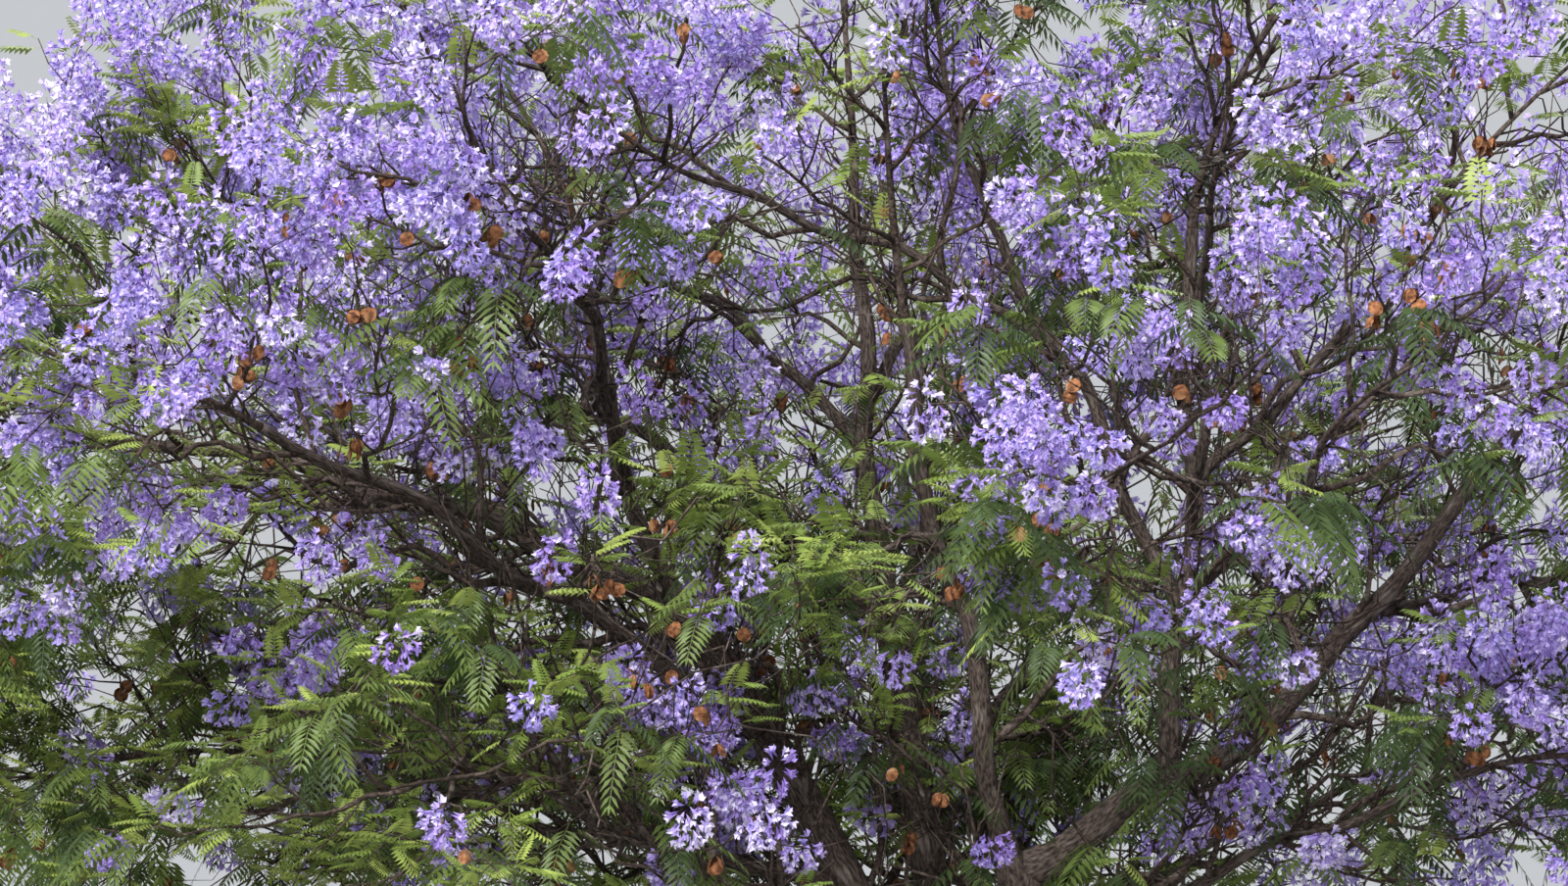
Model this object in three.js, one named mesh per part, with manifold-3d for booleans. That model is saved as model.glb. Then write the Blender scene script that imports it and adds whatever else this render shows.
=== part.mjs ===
// A jacaranda tree in bloom, in millimetres. +Z is up, and the origin is the middle of the flat cut under the
// trunk. A short trunk with a root flare forks low into three stems. Boughs leave the stems and each other,
// and every bough ends in a mass: one stem with twigs that branch by a seeded rule, and trusses of blossom
// and sprays of feathery leaves fused to the twigs. Bearings go round the trunk: 0 right, 90 back, 180 left,
// 270 front.
import * as THREE from "three";
import { mergeVertices } from "three/addons/utils/BufferGeometryUtils.js";
import Module from "manifold-3d";

const wasm = await Module();
wasm.setup();

// The crown: a broad dome, wider than it is high, whose middle stands a little left of the trunk. Each half is
// round at a squareness of 2, and a higher one makes it flatter and its rim fuller, as the underside is.
const CROWN_ACROSS = 10000;
const CROWN_DEEP = 9400;
const CROWN_TOP = 7400;
const CROWN_WAIST = 3900;
const CROWN_BOTTOM = 1900;
const CROWN_MIDDLE_LEFT = 350;
const SQUARENESS_ABOVE = 2;
const SQUARENESS_BELOW = 4;

// The trunk, up to its fork. It is made a little too long at its foot and cut flat at the ground.
const TRUNK_HEIGHT = 1200;
const TRUNK_CUT_OFF = 60;
const TRUNK_LEAN = 60;
const TRUNK_FOOT_RADIUS = 205;
const TRUNK_TOP_RADIUS = 180;
const TRUNK_SIDES = 20;
const TRUNK_STEPS = 12;
const FLARE_SPREAD = 120;
const FLARE_HEIGHT = 170;
const FLARE_ROOTS = 5;
const FLARE_FLUTING = 0.4;
const DOME_HEIGHT = 170;
const DOME_PINCH = 0.7;

// Each limb: its name, what it leaves and how far along that, the rise in degrees it leaves at, where its tip
// is (bearing round the trunk, distance out, height up), its radius at foot and tip, and for a bough the
// share of its mass that is in blossom.
const LIMBS = [
  ["stem_left", "trunk", 0.86, 74, 191, 1314, 3590, 105, 70],
  ["stem_middle", "trunk", 0.9, 80, 129, 710, 3900, 100, 62],
  ["stem_right", "trunk", 0.85, 84, 323, 250, 2500, 108, 90],
  ["left_sweep", "stem_left", 0.97, 32, 187, 3760, 4290, 54, 26, 0.85],
  ["left_upright", "stem_left", 0.93, 50, 177, 1753, 5150, 46, 24, 0.9],
  ["left_side", "left_upright", 0.2, 15, 166, 3090, 4950, 30, 19, 0.85],
  ["left_front", "stem_left", 0.8, 25, 216, 3650, 4150, 42, 22, 0.9],
  ["left_low", "stem_left", 0.55, 10, 176, 3050, 2950, 34, 18, 0.2],
  ["left_front_low", "stem_left", 0.38, 15, 222, 2400, 2700, 30, 17, 0.35],
  ["front_high", "left_upright", 0.45, 50, 222, 2370, 4850, 32, 20, 0.9],
  ["middle_upright", "stem_middle", 0.97, 80, 147, 650, 5450, 52, 27, 0.8],
  ["back_left", "stem_middle", 0.9, 35, 134, 3180, 4900, 44, 22, 0.8],
  ["back", "stem_middle", 0.75, 40, 95, 3110, 4500, 44, 22, 0.55],
  ["back_right", "stem_middle", 0.6, 38, 58, 3050, 4500, 42, 22, 0.7],
  ["back_high_left", "middle_upright", 0.35, 45, 137, 2190, 5400, 31, 20, 0.85],
  ["back_high", "middle_upright", 0.5, 45, 80, 1750, 5450, 30, 20, 0.8],
  ["back_low_left", "stem_middle", 0.42, 20, 142, 2950, 3100, 34, 18, 0.3],
  ["back_low", "stem_middle", 0.28, 15, 97, 1920, 3000, 30, 18, 0.25],
  ["back_low_right", "stem_middle", 0.35, 22, 42, 2700, 3000, 34, 18, 0.3],
  ["right_arm", "stem_right", 0.97, 26, 351, 2376, 4400, 76, 30, 0.8],
  ["right_low", "stem_right", 0.75, 20, 332, 2350, 2850, 32, 18, 0.6],
  ["right_upright", "right_arm", 0.28, 76, 9, 962, 5300, 50, 28, 0.85],
  ["cross", "right_upright", 0.35, 62, 262, 354, 5500, 36, 22, 0.75],
  ["arch", "cross", 0.6, 30, 217, 1500, 5350, 27, 16, 0.8],
  ["centre_rise", "stem_right", 0.9, 62, 249, 966, 4750, 54, 26, 0.6],
  ["front", "centre_rise", 0.45, 20, 279, 2230, 3850, 35, 20, 0.85],
  ["front_right", "right_arm", 0.42, 30, 301, 2450, 4000, 38, 20, 0.85],
  ["far_right", "right_arm", 0.6, 25, 14, 3276, 3800, 35, 20, 0.8],
  ["right_back", "right_upright", 0.3, 45, 38, 2900, 5000, 34, 20, 0.8],
  ["right_high", "right_upright", 0.55, 40, 356, 2010, 5350, 28, 18, 0.8],
  ["front_high_right", "right_upright", 0.45, 45, 299, 1836, 5100, 30, 18, 0.8],
];
const BEND_SHARE = 0.45;
const WANDER_SHARE = 0.018;
const WAVES = 1.5;
const STEM_SIDES = 12;
const BOUGH_SIDES = 7;
const STEPS_PER_METRE = 2.6;

// The rule by which a mass grows: a stem from its bough's tip, twigs round it by the golden turn, and sprays
// of leaves or trusses of blossom along each twig. A play is how far a seeded draw can shift an angle.
const FIRST_MASS_SEED = 100;
const MASS_STEM = 1050;
const MASS_STEM_TO_BOUGH = 0.9;
const MASS_STEM_TAPER = 0.4;
const MASS_STEM_SIDES = 5;
const MASS_STEM_STEPS = 4;
const MASS_MIDDLE = 0.7;
const OUTWARD_PULL = 0.9;
const TWIGS = 7;
const TWIG_FIRST = 0.12;
const TWIG_LAST = 0.97;
const TWIG_LENGTH = 950;
const TWIG_SHORTENING = 0.35;
const TWIG_RADIUS = 12;
const TWIG_TAPER = 0.6;
const TWIG_SIDES = 3;
const TWIG_STEPS = 2;
const TWIG_TURN = 137.5;
const TWIG_TURN_PLAY = 40;
const TWIG_SPREAD = 72;
const TWIG_SPREAD_AT_TIP = 24;
const TWIG_SPREAD_PLAY = 8;
const TWIG_LIFT = 0.1;
const SPRAY_PLACES = [0.5, 0.75, 0.97];
const SPRAY_TURN = 180;
const SPRAY_TURN_PLAY = 60;
const SPRAY_ROLL_PLAY = 90;
const SPRAY_SPREAD = 52;
const SPRAY_SPREAD_AT_TIP = 10;
const SPRAY_WIDEST_AT = 0.46;
const LEAVES = { length: 860, width: 460, thickness: 60, lift: -0.1 };
const TRUSS = { length: 640, width: 400, thickness: 300, lift: 0.1 };

// Every joint between two pieces keeps this gap, and a twig or leaf stays this clear of limbs and neighbours.
const JOINT_GAP = 0.4;
const CLEARANCE = 12;
const TWIG_CLEAR_FROM = 0.2;

// Facets that lie within this of flat are joined into one.
const MASS_FLAT_WITHIN = 1;
const LIMB_FLAT_WITHIN = 0.05;

const TRUNK_BARK = new THREE.MeshStandardMaterial({ color: 0x4a4038, roughness: 0.95, metalness: 0 });
const BOUGH_BARK = new THREE.MeshStandardMaterial({ color: 0x54463f, roughness: 0.9, metalness: 0 });
const BLOSSOM = new THREE.MeshStandardMaterial({ color: 0x8f7fd6, roughness: 0.7, metalness: 0 });
const FOLIAGE = new THREE.MeshStandardMaterial({ color: 0x5b7d32, roughness: 0.65, metalness: 0 });

const UP = new THREE.Vector3(0, 0, 1);
const radians = THREE.MathUtils.degToRad;
const mix = THREE.MathUtils.lerp;

// A stream of numbers from 0 to 1 that is the same for the same seed.
function seeded(seed) {
  let state = (Math.imul(seed, 2654435761) + 12345) >>> 0;
  return () => {
    state = (Math.imul(state, 1664525) + 1013904223) >>> 0;
    return state / 4294967296;
  };
}

// A value made up to a share shorter or longer by the next draw.
function varied(value, share, random) {
  return value * mix(1 - share, 1 + share, random());
}

// The line down the middle of a limb or twig: one bend, and a small wander that fades out at both ends.
class WoodAxis extends THREE.Curve {
  constructor(foot, elbow, tip, wander = 0, phase = 0) {
    super();
    this.bend = new THREE.QuadraticBezierCurve3(foot, elbow, tip);
    this.wander = wander;
    this.phase = phase;
  }
  getPoint(t, target = new THREE.Vector3()) {
    this.bend.getPoint(t, target);
    const strength = this.wander * Math.sin(Math.PI * t);
    const turn = 2 * Math.PI * (WAVES * t + this.phase);
    target.x += strength * Math.sin(turn);
    target.y += strength * Math.cos(1.3 * turn);
    target.z += strength * Math.sin(1.7 * turn);
    return target;
  }
}

// Two directions square to a direction and to each other.
function acrossOf(direction) {
  const level = Math.abs(direction.z) > 0.95 ? new THREE.Vector3(1, 0, 0) : UP;
  const side = new THREE.Vector3().crossVectors(direction, level).normalize();
  return [side, new THREE.Vector3().crossVectors(side, direction)];
}

function solid(geometry) {
  geometry.deleteAttribute("normal");
  geometry.deleteAttribute("uv");
  const merged = mergeVertices(geometry, 1e-3);
  const vertProperties = new Float32Array(merged.getAttribute("position").array);
  const triVerts = new Uint32Array(merged.index.array);
  return new wasm.Manifold(new wasm.Mesh({ numProp: 3, vertProperties, triVerts }));
}

// A closed cylinder bent along an axis, radiusAt(t, angle) thick. Grown, it is wider and longer at both ends.
function rod({ axis, radiusAt, sides, steps }, grown = 0) {
  const geometry = new THREE.CylinderGeometry(1, 1, 1, sides, steps);
  const rings = [];
  let [side] = acrossOf(axis.getTangent(0));
  for (let i = 0; i <= steps; i++) {
    const along = axis.getTangent(i / steps);
    side = side.clone().addScaledVector(along, -side.dot(along)).normalize();
    const over = new THREE.Vector3().crossVectors(side, along);
    const reach = i === 0 ? -grown : i === steps ? grown : 0;
    rings.push({ middle: axis.getPoint(i / steps).addScaledVector(along, reach), side, over });
  }
  const spots = geometry.getAttribute("position");
  for (let i = 0; i < spots.count; i++) {
    const t = spots.getY(i) + 0.5;
    const ring = rings[Math.round(t * steps)];
    const [x, z] = [spots.getX(i), spots.getZ(i)];
    const wide = radiusAt(t, Math.atan2(z, x)) + grown;
    const spot = ring.middle.clone().addScaledVector(ring.side, x * wide);
    spot.addScaledVector(ring.over, z * wide);
    spots.setXYZ(i, spot.x, spot.y, spot.z);
  }
  return solid(geometry);
}

// The largest of the bodies that a cut or a join leaves: loose scraps are dropped.
function largest(shape) {
  return shape.decompose().sort((a, b) => b.volume() - a.volume())[0];
}

// The mesh stands at its foot, and its vertices are measured from there.
function meshOf(name, shape, foot, material) {
  const { vertProperties, triVerts } = shape.getMesh();
  const geometry = new THREE.BufferGeometry();
  geometry.setAttribute("position", new THREE.BufferAttribute(vertProperties, 3));
  geometry.setIndex(new THREE.BufferAttribute(triVerts, 1));
  geometry.translate(-foot.x, -foot.y, -foot.z);
  const mesh = new THREE.Mesh(geometry, material);
  mesh.name = name;
  mesh.position.copy(foot);
  return mesh;
}

// The trunk swells into ribs at the ground and rounds over at the fork.
function trunkRadius(t, angle) {
  const height = mix(-TRUNK_CUT_OFF, TRUNK_HEIGHT, t);
  const rib = 1 + FLARE_FLUTING * Math.cos(FLARE_ROOTS * angle);
  const flare = FLARE_SPREAD * Math.exp(-height / FLARE_HEIGHT) * rib;
  const dome = Math.max(0, 1 - (TRUNK_HEIGHT - height) / DOME_HEIGHT);
  return (mix(TRUNK_FOOT_RADIUS, TRUNK_TOP_RADIUS, t) + flare) * Math.sqrt(1 - DOME_PINCH * dome * dome);
}

function makeTrunk() {
  const foot = new THREE.Vector3(0, 0, -TRUNK_CUT_OFF);
  const elbow = new THREE.Vector3(0, 0, TRUNK_HEIGHT / 2);
  const tip = new THREE.Vector3(-TRUNK_LEAN, 0, TRUNK_HEIGHT);
  return {
    name: "trunk",
    axis: new WoodAxis(foot, elbow, tip),
    radiusAt: trunkRadius,
    sides: TRUNK_SIDES,
    steps: TRUNK_STEPS,
  };
}

function makeLimb(row, number, limbs) {
  const [name, from, at, rise, bearing, out, up, footRadius, tipRadius, bloom] = row;
  const foot = limbs.find((limb) => limb.name === from).axis.getPoint(at);
  const tip = new THREE.Vector3(out * Math.cos(radians(bearing)), out * Math.sin(radians(bearing)), up);
  const reach = foot.distanceTo(tip);
  const heading = new THREE.Vector3(tip.x - foot.x, tip.y - foot.y, 0).setLength(Math.cos(radians(rise)));
  heading.addScaledVector(UP, Math.sin(radians(rise)));
  const elbow = foot.clone().addScaledVector(heading, BEND_SHARE * reach);
  const isStem = bloom === undefined;
  return {
    name,
    axis: new WoodAxis(foot, elbow, tip, isStem ? 0 : WANDER_SHARE * reach, seeded(number)()),
    radiusAt: (t) => mix(footRadius, tipRadius, t),
    sides: isStem ? STEM_SIDES : BOUGH_SIDES,
    steps: Math.round((STEPS_PER_METRE * reach) / 1000),
    bloom,
  };
}

// The limbs in order, each cut clear of every earlier one that it leaves or stands beside.
function cutLimbs(limbs) {
  const belowGround = new THREE.BoxGeometry(CROWN_ACROSS, CROWN_DEEP, 2 * TRUNK_CUT_OFF);
  belowGround.translate(0, 0, -TRUNK_CUT_OFF);
  limbs.forEach((limb, i) => {
    limb.grown = rod(limb, JOINT_GAP);
    const taken = limbs.slice(0, i).reduce((shape, earlier) => shape.subtract(earlier.grown), rod(limb));
    const whole = largest(i === 0 ? taken.subtract(solid(belowGround)) : taken);
    limb.body = whole.asOriginal().simplify(LIMB_FLAT_WITHIN);
  });
}

const limbs = [makeTrunk()];
LIMBS.forEach((row, i) => limbs.push(makeLimb(row, i + 1, limbs)));
cutLimbs(limbs);

// Every mass grows from a bough's tip, outwards from the heart of the crown.
const heart = new THREE.Vector3(-CROWN_MIDDLE_LEFT, 0, CROWN_WAIST);
const masses = limbs
  .filter((limb) => limb.bloom !== undefined)
  .map((bough) => {
    const tip = bough.axis.getPoint(1);
    const outward = tip.clone().sub(heart).normalize();
    const heading = bough.axis.getTangent(1).addScaledVector(outward, OUTWARD_PULL).normalize();
    return { bough, tip, heading, middle: tip.clone().addScaledVector(heading, MASS_MIDDLE * MASS_STEM) };
  });

function inCrown(spot) {
  const isAbove = spot.z > CROWN_WAIST;
  const height = isAbove ? CROWN_TOP - CROWN_WAIST : CROWN_WAIST - CROWN_BOTTOM;
  const across = (spot.x - heart.x) / (CROWN_ACROSS / 2);
  const deep = spot.y / (CROWN_DEEP / 2);
  const high = (Math.abs(spot.z - CROWN_WAIST) / height) ** (isAbove ? SQUARENESS_ABOVE : SQUARENESS_BELOW);
  return across * across + deep * deep + high < 1;
}

// A spot is in a mass's own space when it is in the crown and nearer to that mass's middle than to any other.
function inSpace(spot, mass) {
  const own = spot.distanceToSquared(mass.middle);
  const isNearest = masses.every((other) => {
    if (other === mass) return true;
    const between = other.middle.distanceTo(mass.middle);
    return (spot.distanceToSquared(other.middle) - own) / (2 * between) > CLEARANCE;
  });
  return isNearest && inCrown(spot);
}

// The limbs as short straight stretches, and the least distance from one of those to another stretch.
const STRETCHES = 14;
const stretches = limbs.flatMap((limb) =>
  Array.from({ length: STRETCHES }, (_, i) => ({
    line: new THREE.Line3(limb.axis.getPoint(i / STRETCHES), limb.axis.getPoint((i + 1) / STRETCHES)),
    radius: limb.radiusAt(i / STRETCHES, 0),
  })),
);
const PROBES = 8;

function touchesLimb(start, end, radius) {
  const nearest = new THREE.Vector3();
  const probes = Array.from({ length: PROBES + 1 }, (_, i) => start.clone().lerp(end, i / PROBES));
  return stretches.some((stretch) =>
    probes.some((probe) => {
      stretch.line.closestPointToPoint(probe, true, nearest);
      return probe.distanceTo(nearest) < stretch.radius + radius + CLEARANCE;
    }),
  );
}

// A shoot leaves its parent at a spread from the parent's own heading, and lifts towards the light or hangs.
function shootFrom(parent, along, around, spread, length, lift) {
  const root = parent.getPoint(along);
  const heading = parent.getTangent(along);
  const [side, over] = acrossOf(heading);
  const away = side.multiplyScalar(Math.cos(radians(around)));
  away.addScaledVector(over, Math.sin(radians(around)));
  heading.multiplyScalar(Math.cos(radians(spread))).addScaledVector(away, Math.sin(radians(spread)));
  const elbow = root.clone().addScaledVector(heading, length / 2);
  const tip = root.clone().addScaledVector(heading, length).addScaledVector(UP, lift * length);
  return new WoodAxis(root, elbow, tip);
}

// A spray of leaves or a truss of blossom has eight faces, from its root in the twig's middle to its tip.
function sprayCorners({ axis, size, roll }) {
  const root = axis.getPoint(0);
  const reach = axis.getPoint(1).sub(root);
  const [side, over] = acrossOf(reach.clone().normalize());
  const wide = side.multiplyScalar(Math.cos(roll)).addScaledVector(over, Math.sin(roll));
  const thick = new THREE.Vector3().crossVectors(wide, reach).normalize();
  const spots = new THREE.OctahedronGeometry(1).getAttribute("position");
  return Array.from({ length: spots.count }, (_, i) => {
    const along = spots.getY(i) === 0 ? SPRAY_WIDEST_AT : (spots.getY(i) + 1) / 2;
    return root
      .clone()
      .addScaledVector(reach, along)
      .addScaledVector(wide, (spots.getX(i) * size.width) / 2)
      .addScaledVector(thick, (spots.getZ(i) * size.thickness) / 2);
  });
}

// All the random draws of a mass are made in one order, whether or not a twig is then skipped.
function drawTwigs(mass, stem, random) {
  return Array.from({ length: TWIGS }, (_, i) => {
    const along = mix(TWIG_FIRST, TWIG_LAST, i / (TWIGS - 1));
    const around = i * TWIG_TURN + TWIG_TURN_PLAY * random();
    const spread = mix(TWIG_SPREAD, TWIG_SPREAD_AT_TIP, along) + TWIG_SPREAD_PLAY * random();
    const length = varied(TWIG_LENGTH * (1 - TWIG_SHORTENING * along), 0.15, random);
    const axis = shootFrom(stem, along, around, spread, length, TWIG_LIFT);
    const sprays = SPRAY_PLACES.map((place, k) => {
      const isLast = k === SPRAY_PLACES.length - 1;
      const sprayAround = SPRAY_TURN * k + SPRAY_TURN_PLAY * (random() - 0.5);
      const size = random() < mass.bough.bloom ? TRUSS : LEAVES;
      const sprayLength = varied(size.length, 0.15, random);
      const sprayLean = varied(isLast ? SPRAY_SPREAD_AT_TIP : SPRAY_SPREAD, 0.2, random);
      const roll = radians(SPRAY_ROLL_PLAY * (random() - 0.5));
      return { axis: shootFrom(axis, place, sprayAround, sprayLean, sprayLength, size.lift), size, roll };
    });
    return { axis, sprays };
  });
}

function twigFits(axis, mass) {
  const tip = axis.getPoint(1);
  if (touchesLimb(axis.getPoint(TWIG_CLEAR_FROM), tip, TWIG_RADIUS)) return false;
  return inSpace(axis.getPoint(0), mass) && inSpace(tip, mass);
}

function sprayFits(spray, mass) {
  if (touchesLimb(spray.axis.getPoint(0), spray.axis.getPoint(1), spray.size.width / 2)) return false;
  return sprayCorners(spray).every((corner) => inSpace(corner, mass));
}

function makeMassStem(mass, random) {
  const radius = MASS_STEM_TO_BOUGH * mass.bough.radiusAt(1);
  const along = mass.bough.axis.getTangent(1);
  const length = varied(MASS_STEM, 0.1, random);
  const start = mass.tip.clone().addScaledVector(along, -radius / 2);
  const elbow = mass.tip.clone().addScaledVector(along, length / 3);
  return {
    axis: new WoodAxis(start, elbow, mass.tip.clone().addScaledVector(mass.heading, length)),
    radiusAt: (t) => radius * mix(1, MASS_STEM_TAPER, t),
    sides: MASS_STEM_SIDES,
    steps: MASS_STEM_STEPS,
  };
}

// A twig or spray that would leave the mass's space or touch a limb is skipped, and so is a twig left bare.
function growMass(mass, number) {
  const random = seeded(FIRST_MASS_SEED + number);
  const stem = makeMassStem(mass, random);
  const radiusAt = (t) => TWIG_RADIUS * mix(1, TWIG_TAPER, t);
  let shape = rod(stem);
  for (const { axis, sprays } of drawTwigs(mass, stem.axis, random)) {
    const kept = sprays.filter((spray) => sprayFits(spray, mass));
    if (kept.length === 0 || !twigFits(axis, mass)) continue;
    shape = shape.add(rod({ axis, radiusAt, sides: TWIG_SIDES, steps: TWIG_STEPS }));
    for (const spray of kept) {
      shape = shape.add(solid(new THREE.BufferGeometry().setFromPoints(sprayCorners(spray))));
    }
  }
  return largest(shape.asOriginal().simplify(MASS_FLAT_WITHIN).subtract(mass.bough.grown));
}

const wood = new THREE.Group();
for (const limb of limbs) {
  const name = limb.bloom === undefined ? limb.name : "bough_" + limb.name;
  const foot = limb.name === "trunk" ? new THREE.Vector3() : limb.axis.getPoint(0);
  wood.add(meshOf(name, limb.body, foot, limb.name === "trunk" ? TRUNK_BARK : BOUGH_BARK));
}

const crown = new THREE.Group();
masses.forEach((mass, i) => {
  const isBlossom = mass.bough.bloom > 0.5;
  const name = (isBlossom ? "blossom_" : "foliage_") + mass.bough.name;
  crown.add(meshOf(name, growMass(mass, i), mass.tip, isBlossom ? BLOSSOM : FOLIAGE));
});

const tree = new THREE.Group();
tree.add(wood, crown);

export default tree;
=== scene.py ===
import math

import bpy
import numpy as np
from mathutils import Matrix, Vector, noise


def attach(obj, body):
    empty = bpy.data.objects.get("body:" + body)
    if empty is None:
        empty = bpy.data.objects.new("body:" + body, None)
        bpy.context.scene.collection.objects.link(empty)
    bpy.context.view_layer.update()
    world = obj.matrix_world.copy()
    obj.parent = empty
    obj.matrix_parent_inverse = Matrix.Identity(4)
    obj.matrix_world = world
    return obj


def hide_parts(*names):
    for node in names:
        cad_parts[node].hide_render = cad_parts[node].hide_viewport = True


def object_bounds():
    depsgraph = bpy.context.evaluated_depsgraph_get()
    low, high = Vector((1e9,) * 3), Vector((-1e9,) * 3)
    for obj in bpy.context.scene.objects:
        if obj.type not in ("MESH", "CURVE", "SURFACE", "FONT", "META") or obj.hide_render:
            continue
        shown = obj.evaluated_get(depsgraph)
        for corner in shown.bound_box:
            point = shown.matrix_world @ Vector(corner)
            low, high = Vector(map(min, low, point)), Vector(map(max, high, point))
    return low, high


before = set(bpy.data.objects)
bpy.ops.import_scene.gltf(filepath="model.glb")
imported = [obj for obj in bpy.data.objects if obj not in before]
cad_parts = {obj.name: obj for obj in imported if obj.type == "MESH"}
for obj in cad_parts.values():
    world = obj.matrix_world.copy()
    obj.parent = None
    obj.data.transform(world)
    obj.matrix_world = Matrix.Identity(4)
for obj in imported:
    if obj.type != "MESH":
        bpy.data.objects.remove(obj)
cad_low, cad_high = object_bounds()
bpy.ops.object.select_all(action="DESELECT")


# The camera stands 24 m in front of the tree, a little left of its trunk, at eye height. It looks up into
# the crown through a long lens, so that the crown fills the picture and runs past it on every side.
CAMERA_EYE = Vector((-0.86, -24.0, 1.6))
CAMERA_TARGET = Vector((-0.86, 0.0, 4.33))
bpy.ops.object.camera_add(location=CAMERA_EYE)
camera = bpy.context.object
camera.name = "camera"
camera.rotation_euler = (CAMERA_TARGET - CAMERA_EYE).to_track_quat("-Z", "Y").to_euler()
camera.data.sensor_width = 36.0
camera.data.lens = 126.4
camera.data.clip_end = 200.0
bpy.context.scene.camera = camera


# The wood: a short trunk with a root flare, three stems and the boughs that leave them and each other. Each
# is one tapering length with furrowed bark, swollen at its foot, which is sunk in its parent's wood. Their
# lines and radii are those of the solids, in metres.
LIMBS = [
    # name, leaves, how far along, rise, tip's bearing, out and up, radius at foot and tip, share in bloom
    ("stem_left", "trunk", 0.86, 74, 191, 1.314, 3.59, 0.105, 0.07, None),
    ("stem_middle", "trunk", 0.9, 80, 129, 0.71, 3.9, 0.1, 0.062, None),
    ("stem_right", "trunk", 0.85, 84, 323, 0.25, 2.5, 0.108, 0.09, None),
    ("left_sweep", "stem_left", 0.97, 32, 187, 3.76, 4.29, 0.054, 0.026, 0.85),
    ("left_upright", "stem_left", 0.93, 50, 177, 1.753, 5.15, 0.046, 0.024, 0.9),
    ("left_side", "left_upright", 0.2, 15, 166, 3.09, 4.95, 0.03, 0.019, 0.85),
    ("left_front", "stem_left", 0.8, 25, 216, 3.65, 4.15, 0.042, 0.022, 0.9),
    ("left_low", "stem_left", 0.55, 10, 176, 3.05, 2.95, 0.034, 0.018, 0.2),
    ("left_front_low", "stem_left", 0.38, 15, 222, 2.4, 2.7, 0.03, 0.017, 0.35),
    ("front_high", "left_upright", 0.45, 50, 222, 2.37, 4.85, 0.032, 0.02, 0.9),
    ("middle_upright", "stem_middle", 0.97, 80, 147, 0.65, 5.45, 0.052, 0.027, 0.8),
    ("back_left", "stem_middle", 0.9, 35, 134, 3.18, 4.9, 0.044, 0.022, 0.8),
    ("back", "stem_middle", 0.75, 40, 95, 3.11, 4.5, 0.044, 0.022, 0.55),
    ("back_right", "stem_middle", 0.6, 38, 58, 3.05, 4.5, 0.042, 0.022, 0.7),
    ("back_high_left", "middle_upright", 0.35, 45, 137, 2.19, 5.4, 0.031, 0.02, 0.85),
    ("back_high", "middle_upright", 0.5, 45, 80, 1.75, 5.45, 0.03, 0.02, 0.8),
    ("back_low_left", "stem_middle", 0.42, 20, 142, 2.95, 3.1, 0.034, 0.018, 0.3),
    ("back_low", "stem_middle", 0.28, 15, 97, 1.92, 3.0, 0.03, 0.018, 0.25),
    ("back_low_right", "stem_middle", 0.35, 22, 42, 2.7, 3.0, 0.034, 0.018, 0.3),
    ("right_arm", "stem_right", 0.97, 26, 351, 2.376, 4.4, 0.076, 0.03, 0.8),
    ("right_low", "stem_right", 0.75, 20, 332, 2.35, 2.85, 0.032, 0.018, 0.6),
    ("right_upright", "right_arm", 0.28, 76, 9, 0.962, 5.3, 0.05, 0.028, 0.85),
    ("cross", "right_upright", 0.35, 62, 262, 0.354, 5.5, 0.036, 0.022, 0.75),
    ("arch", "cross", 0.6, 30, 217, 1.5, 5.35, 0.027, 0.016, 0.8),
    ("centre_rise", "stem_right", 0.9, 62, 249, 0.966, 4.75, 0.054, 0.026, 0.6),
    ("front", "centre_rise", 0.45, 20, 279, 2.23, 3.85, 0.035, 0.02, 0.85),
    ("front_right", "right_arm", 0.42, 30, 301, 2.45, 4.0, 0.038, 0.02, 0.85),
    ("far_right", "right_arm", 0.6, 25, 14, 3.276, 3.8, 0.035, 0.02, 0.8),
    ("right_back", "right_upright", 0.3, 45, 38, 2.9, 5.0, 0.034, 0.02, 0.8),
    ("right_high", "right_upright", 0.55, 40, 356, 2.01, 5.35, 0.028, 0.018, 0.8),
    ("front_high_right", "right_upright", 0.45, 45, 299, 1.836, 5.1, 0.03, 0.018, 0.8),
]
BEND_SHARE = 0.45
WANDER_SHARE = 0.018
WAVES, WAVE_PACES = 1.5, (1.3, 1.7)
STEP = 1e-4
STEEP = 0.95
TRUNK_HEIGHT, TRUNK_LEAN, TRUNK_RADII = 1.2, 0.06, (0.205, 0.18)
FLARE_OUT, FLARE_HEIGHT, FLARE_RIBS, RIB_DEPTH = 0.12, 0.17, 5, 0.4
DOME_HEIGHT, DOME_DEPTH = 0.17, 0.7
SWELL_SHARE, SWELL_LIMITS = 0.93, (0.1, 0.75)
SWELL_START, SWELL_FADE = 0.9, 1.3
END_LENGTH, END_DEPTH = 1.4, 0.97
SEED_FACTOR, SEED_STEP = 2654435761, 12345
DRAW_FACTOR, DRAW_STEP, DRAW_RANGE = 1664525, 1013904223, 2**32
UP = np.array((0.0, 0.0, 1.0))


def mix(low, high, share):
    return low + (high - low) * share


def unit(direction):
    return direction / np.linalg.norm(direction, axis=-1, keepdims=True)


def seeded(seed):
    """A run of chance values from 0 to 1, the same ones that the solids were grown with."""
    state = (seed * SEED_FACTOR + SEED_STEP) % DRAW_RANGE

    def draw():
        nonlocal state
        state = (state * DRAW_FACTOR + DRAW_STEP) % DRAW_RANGE
        return state / DRAW_RANGE

    return draw


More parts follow.
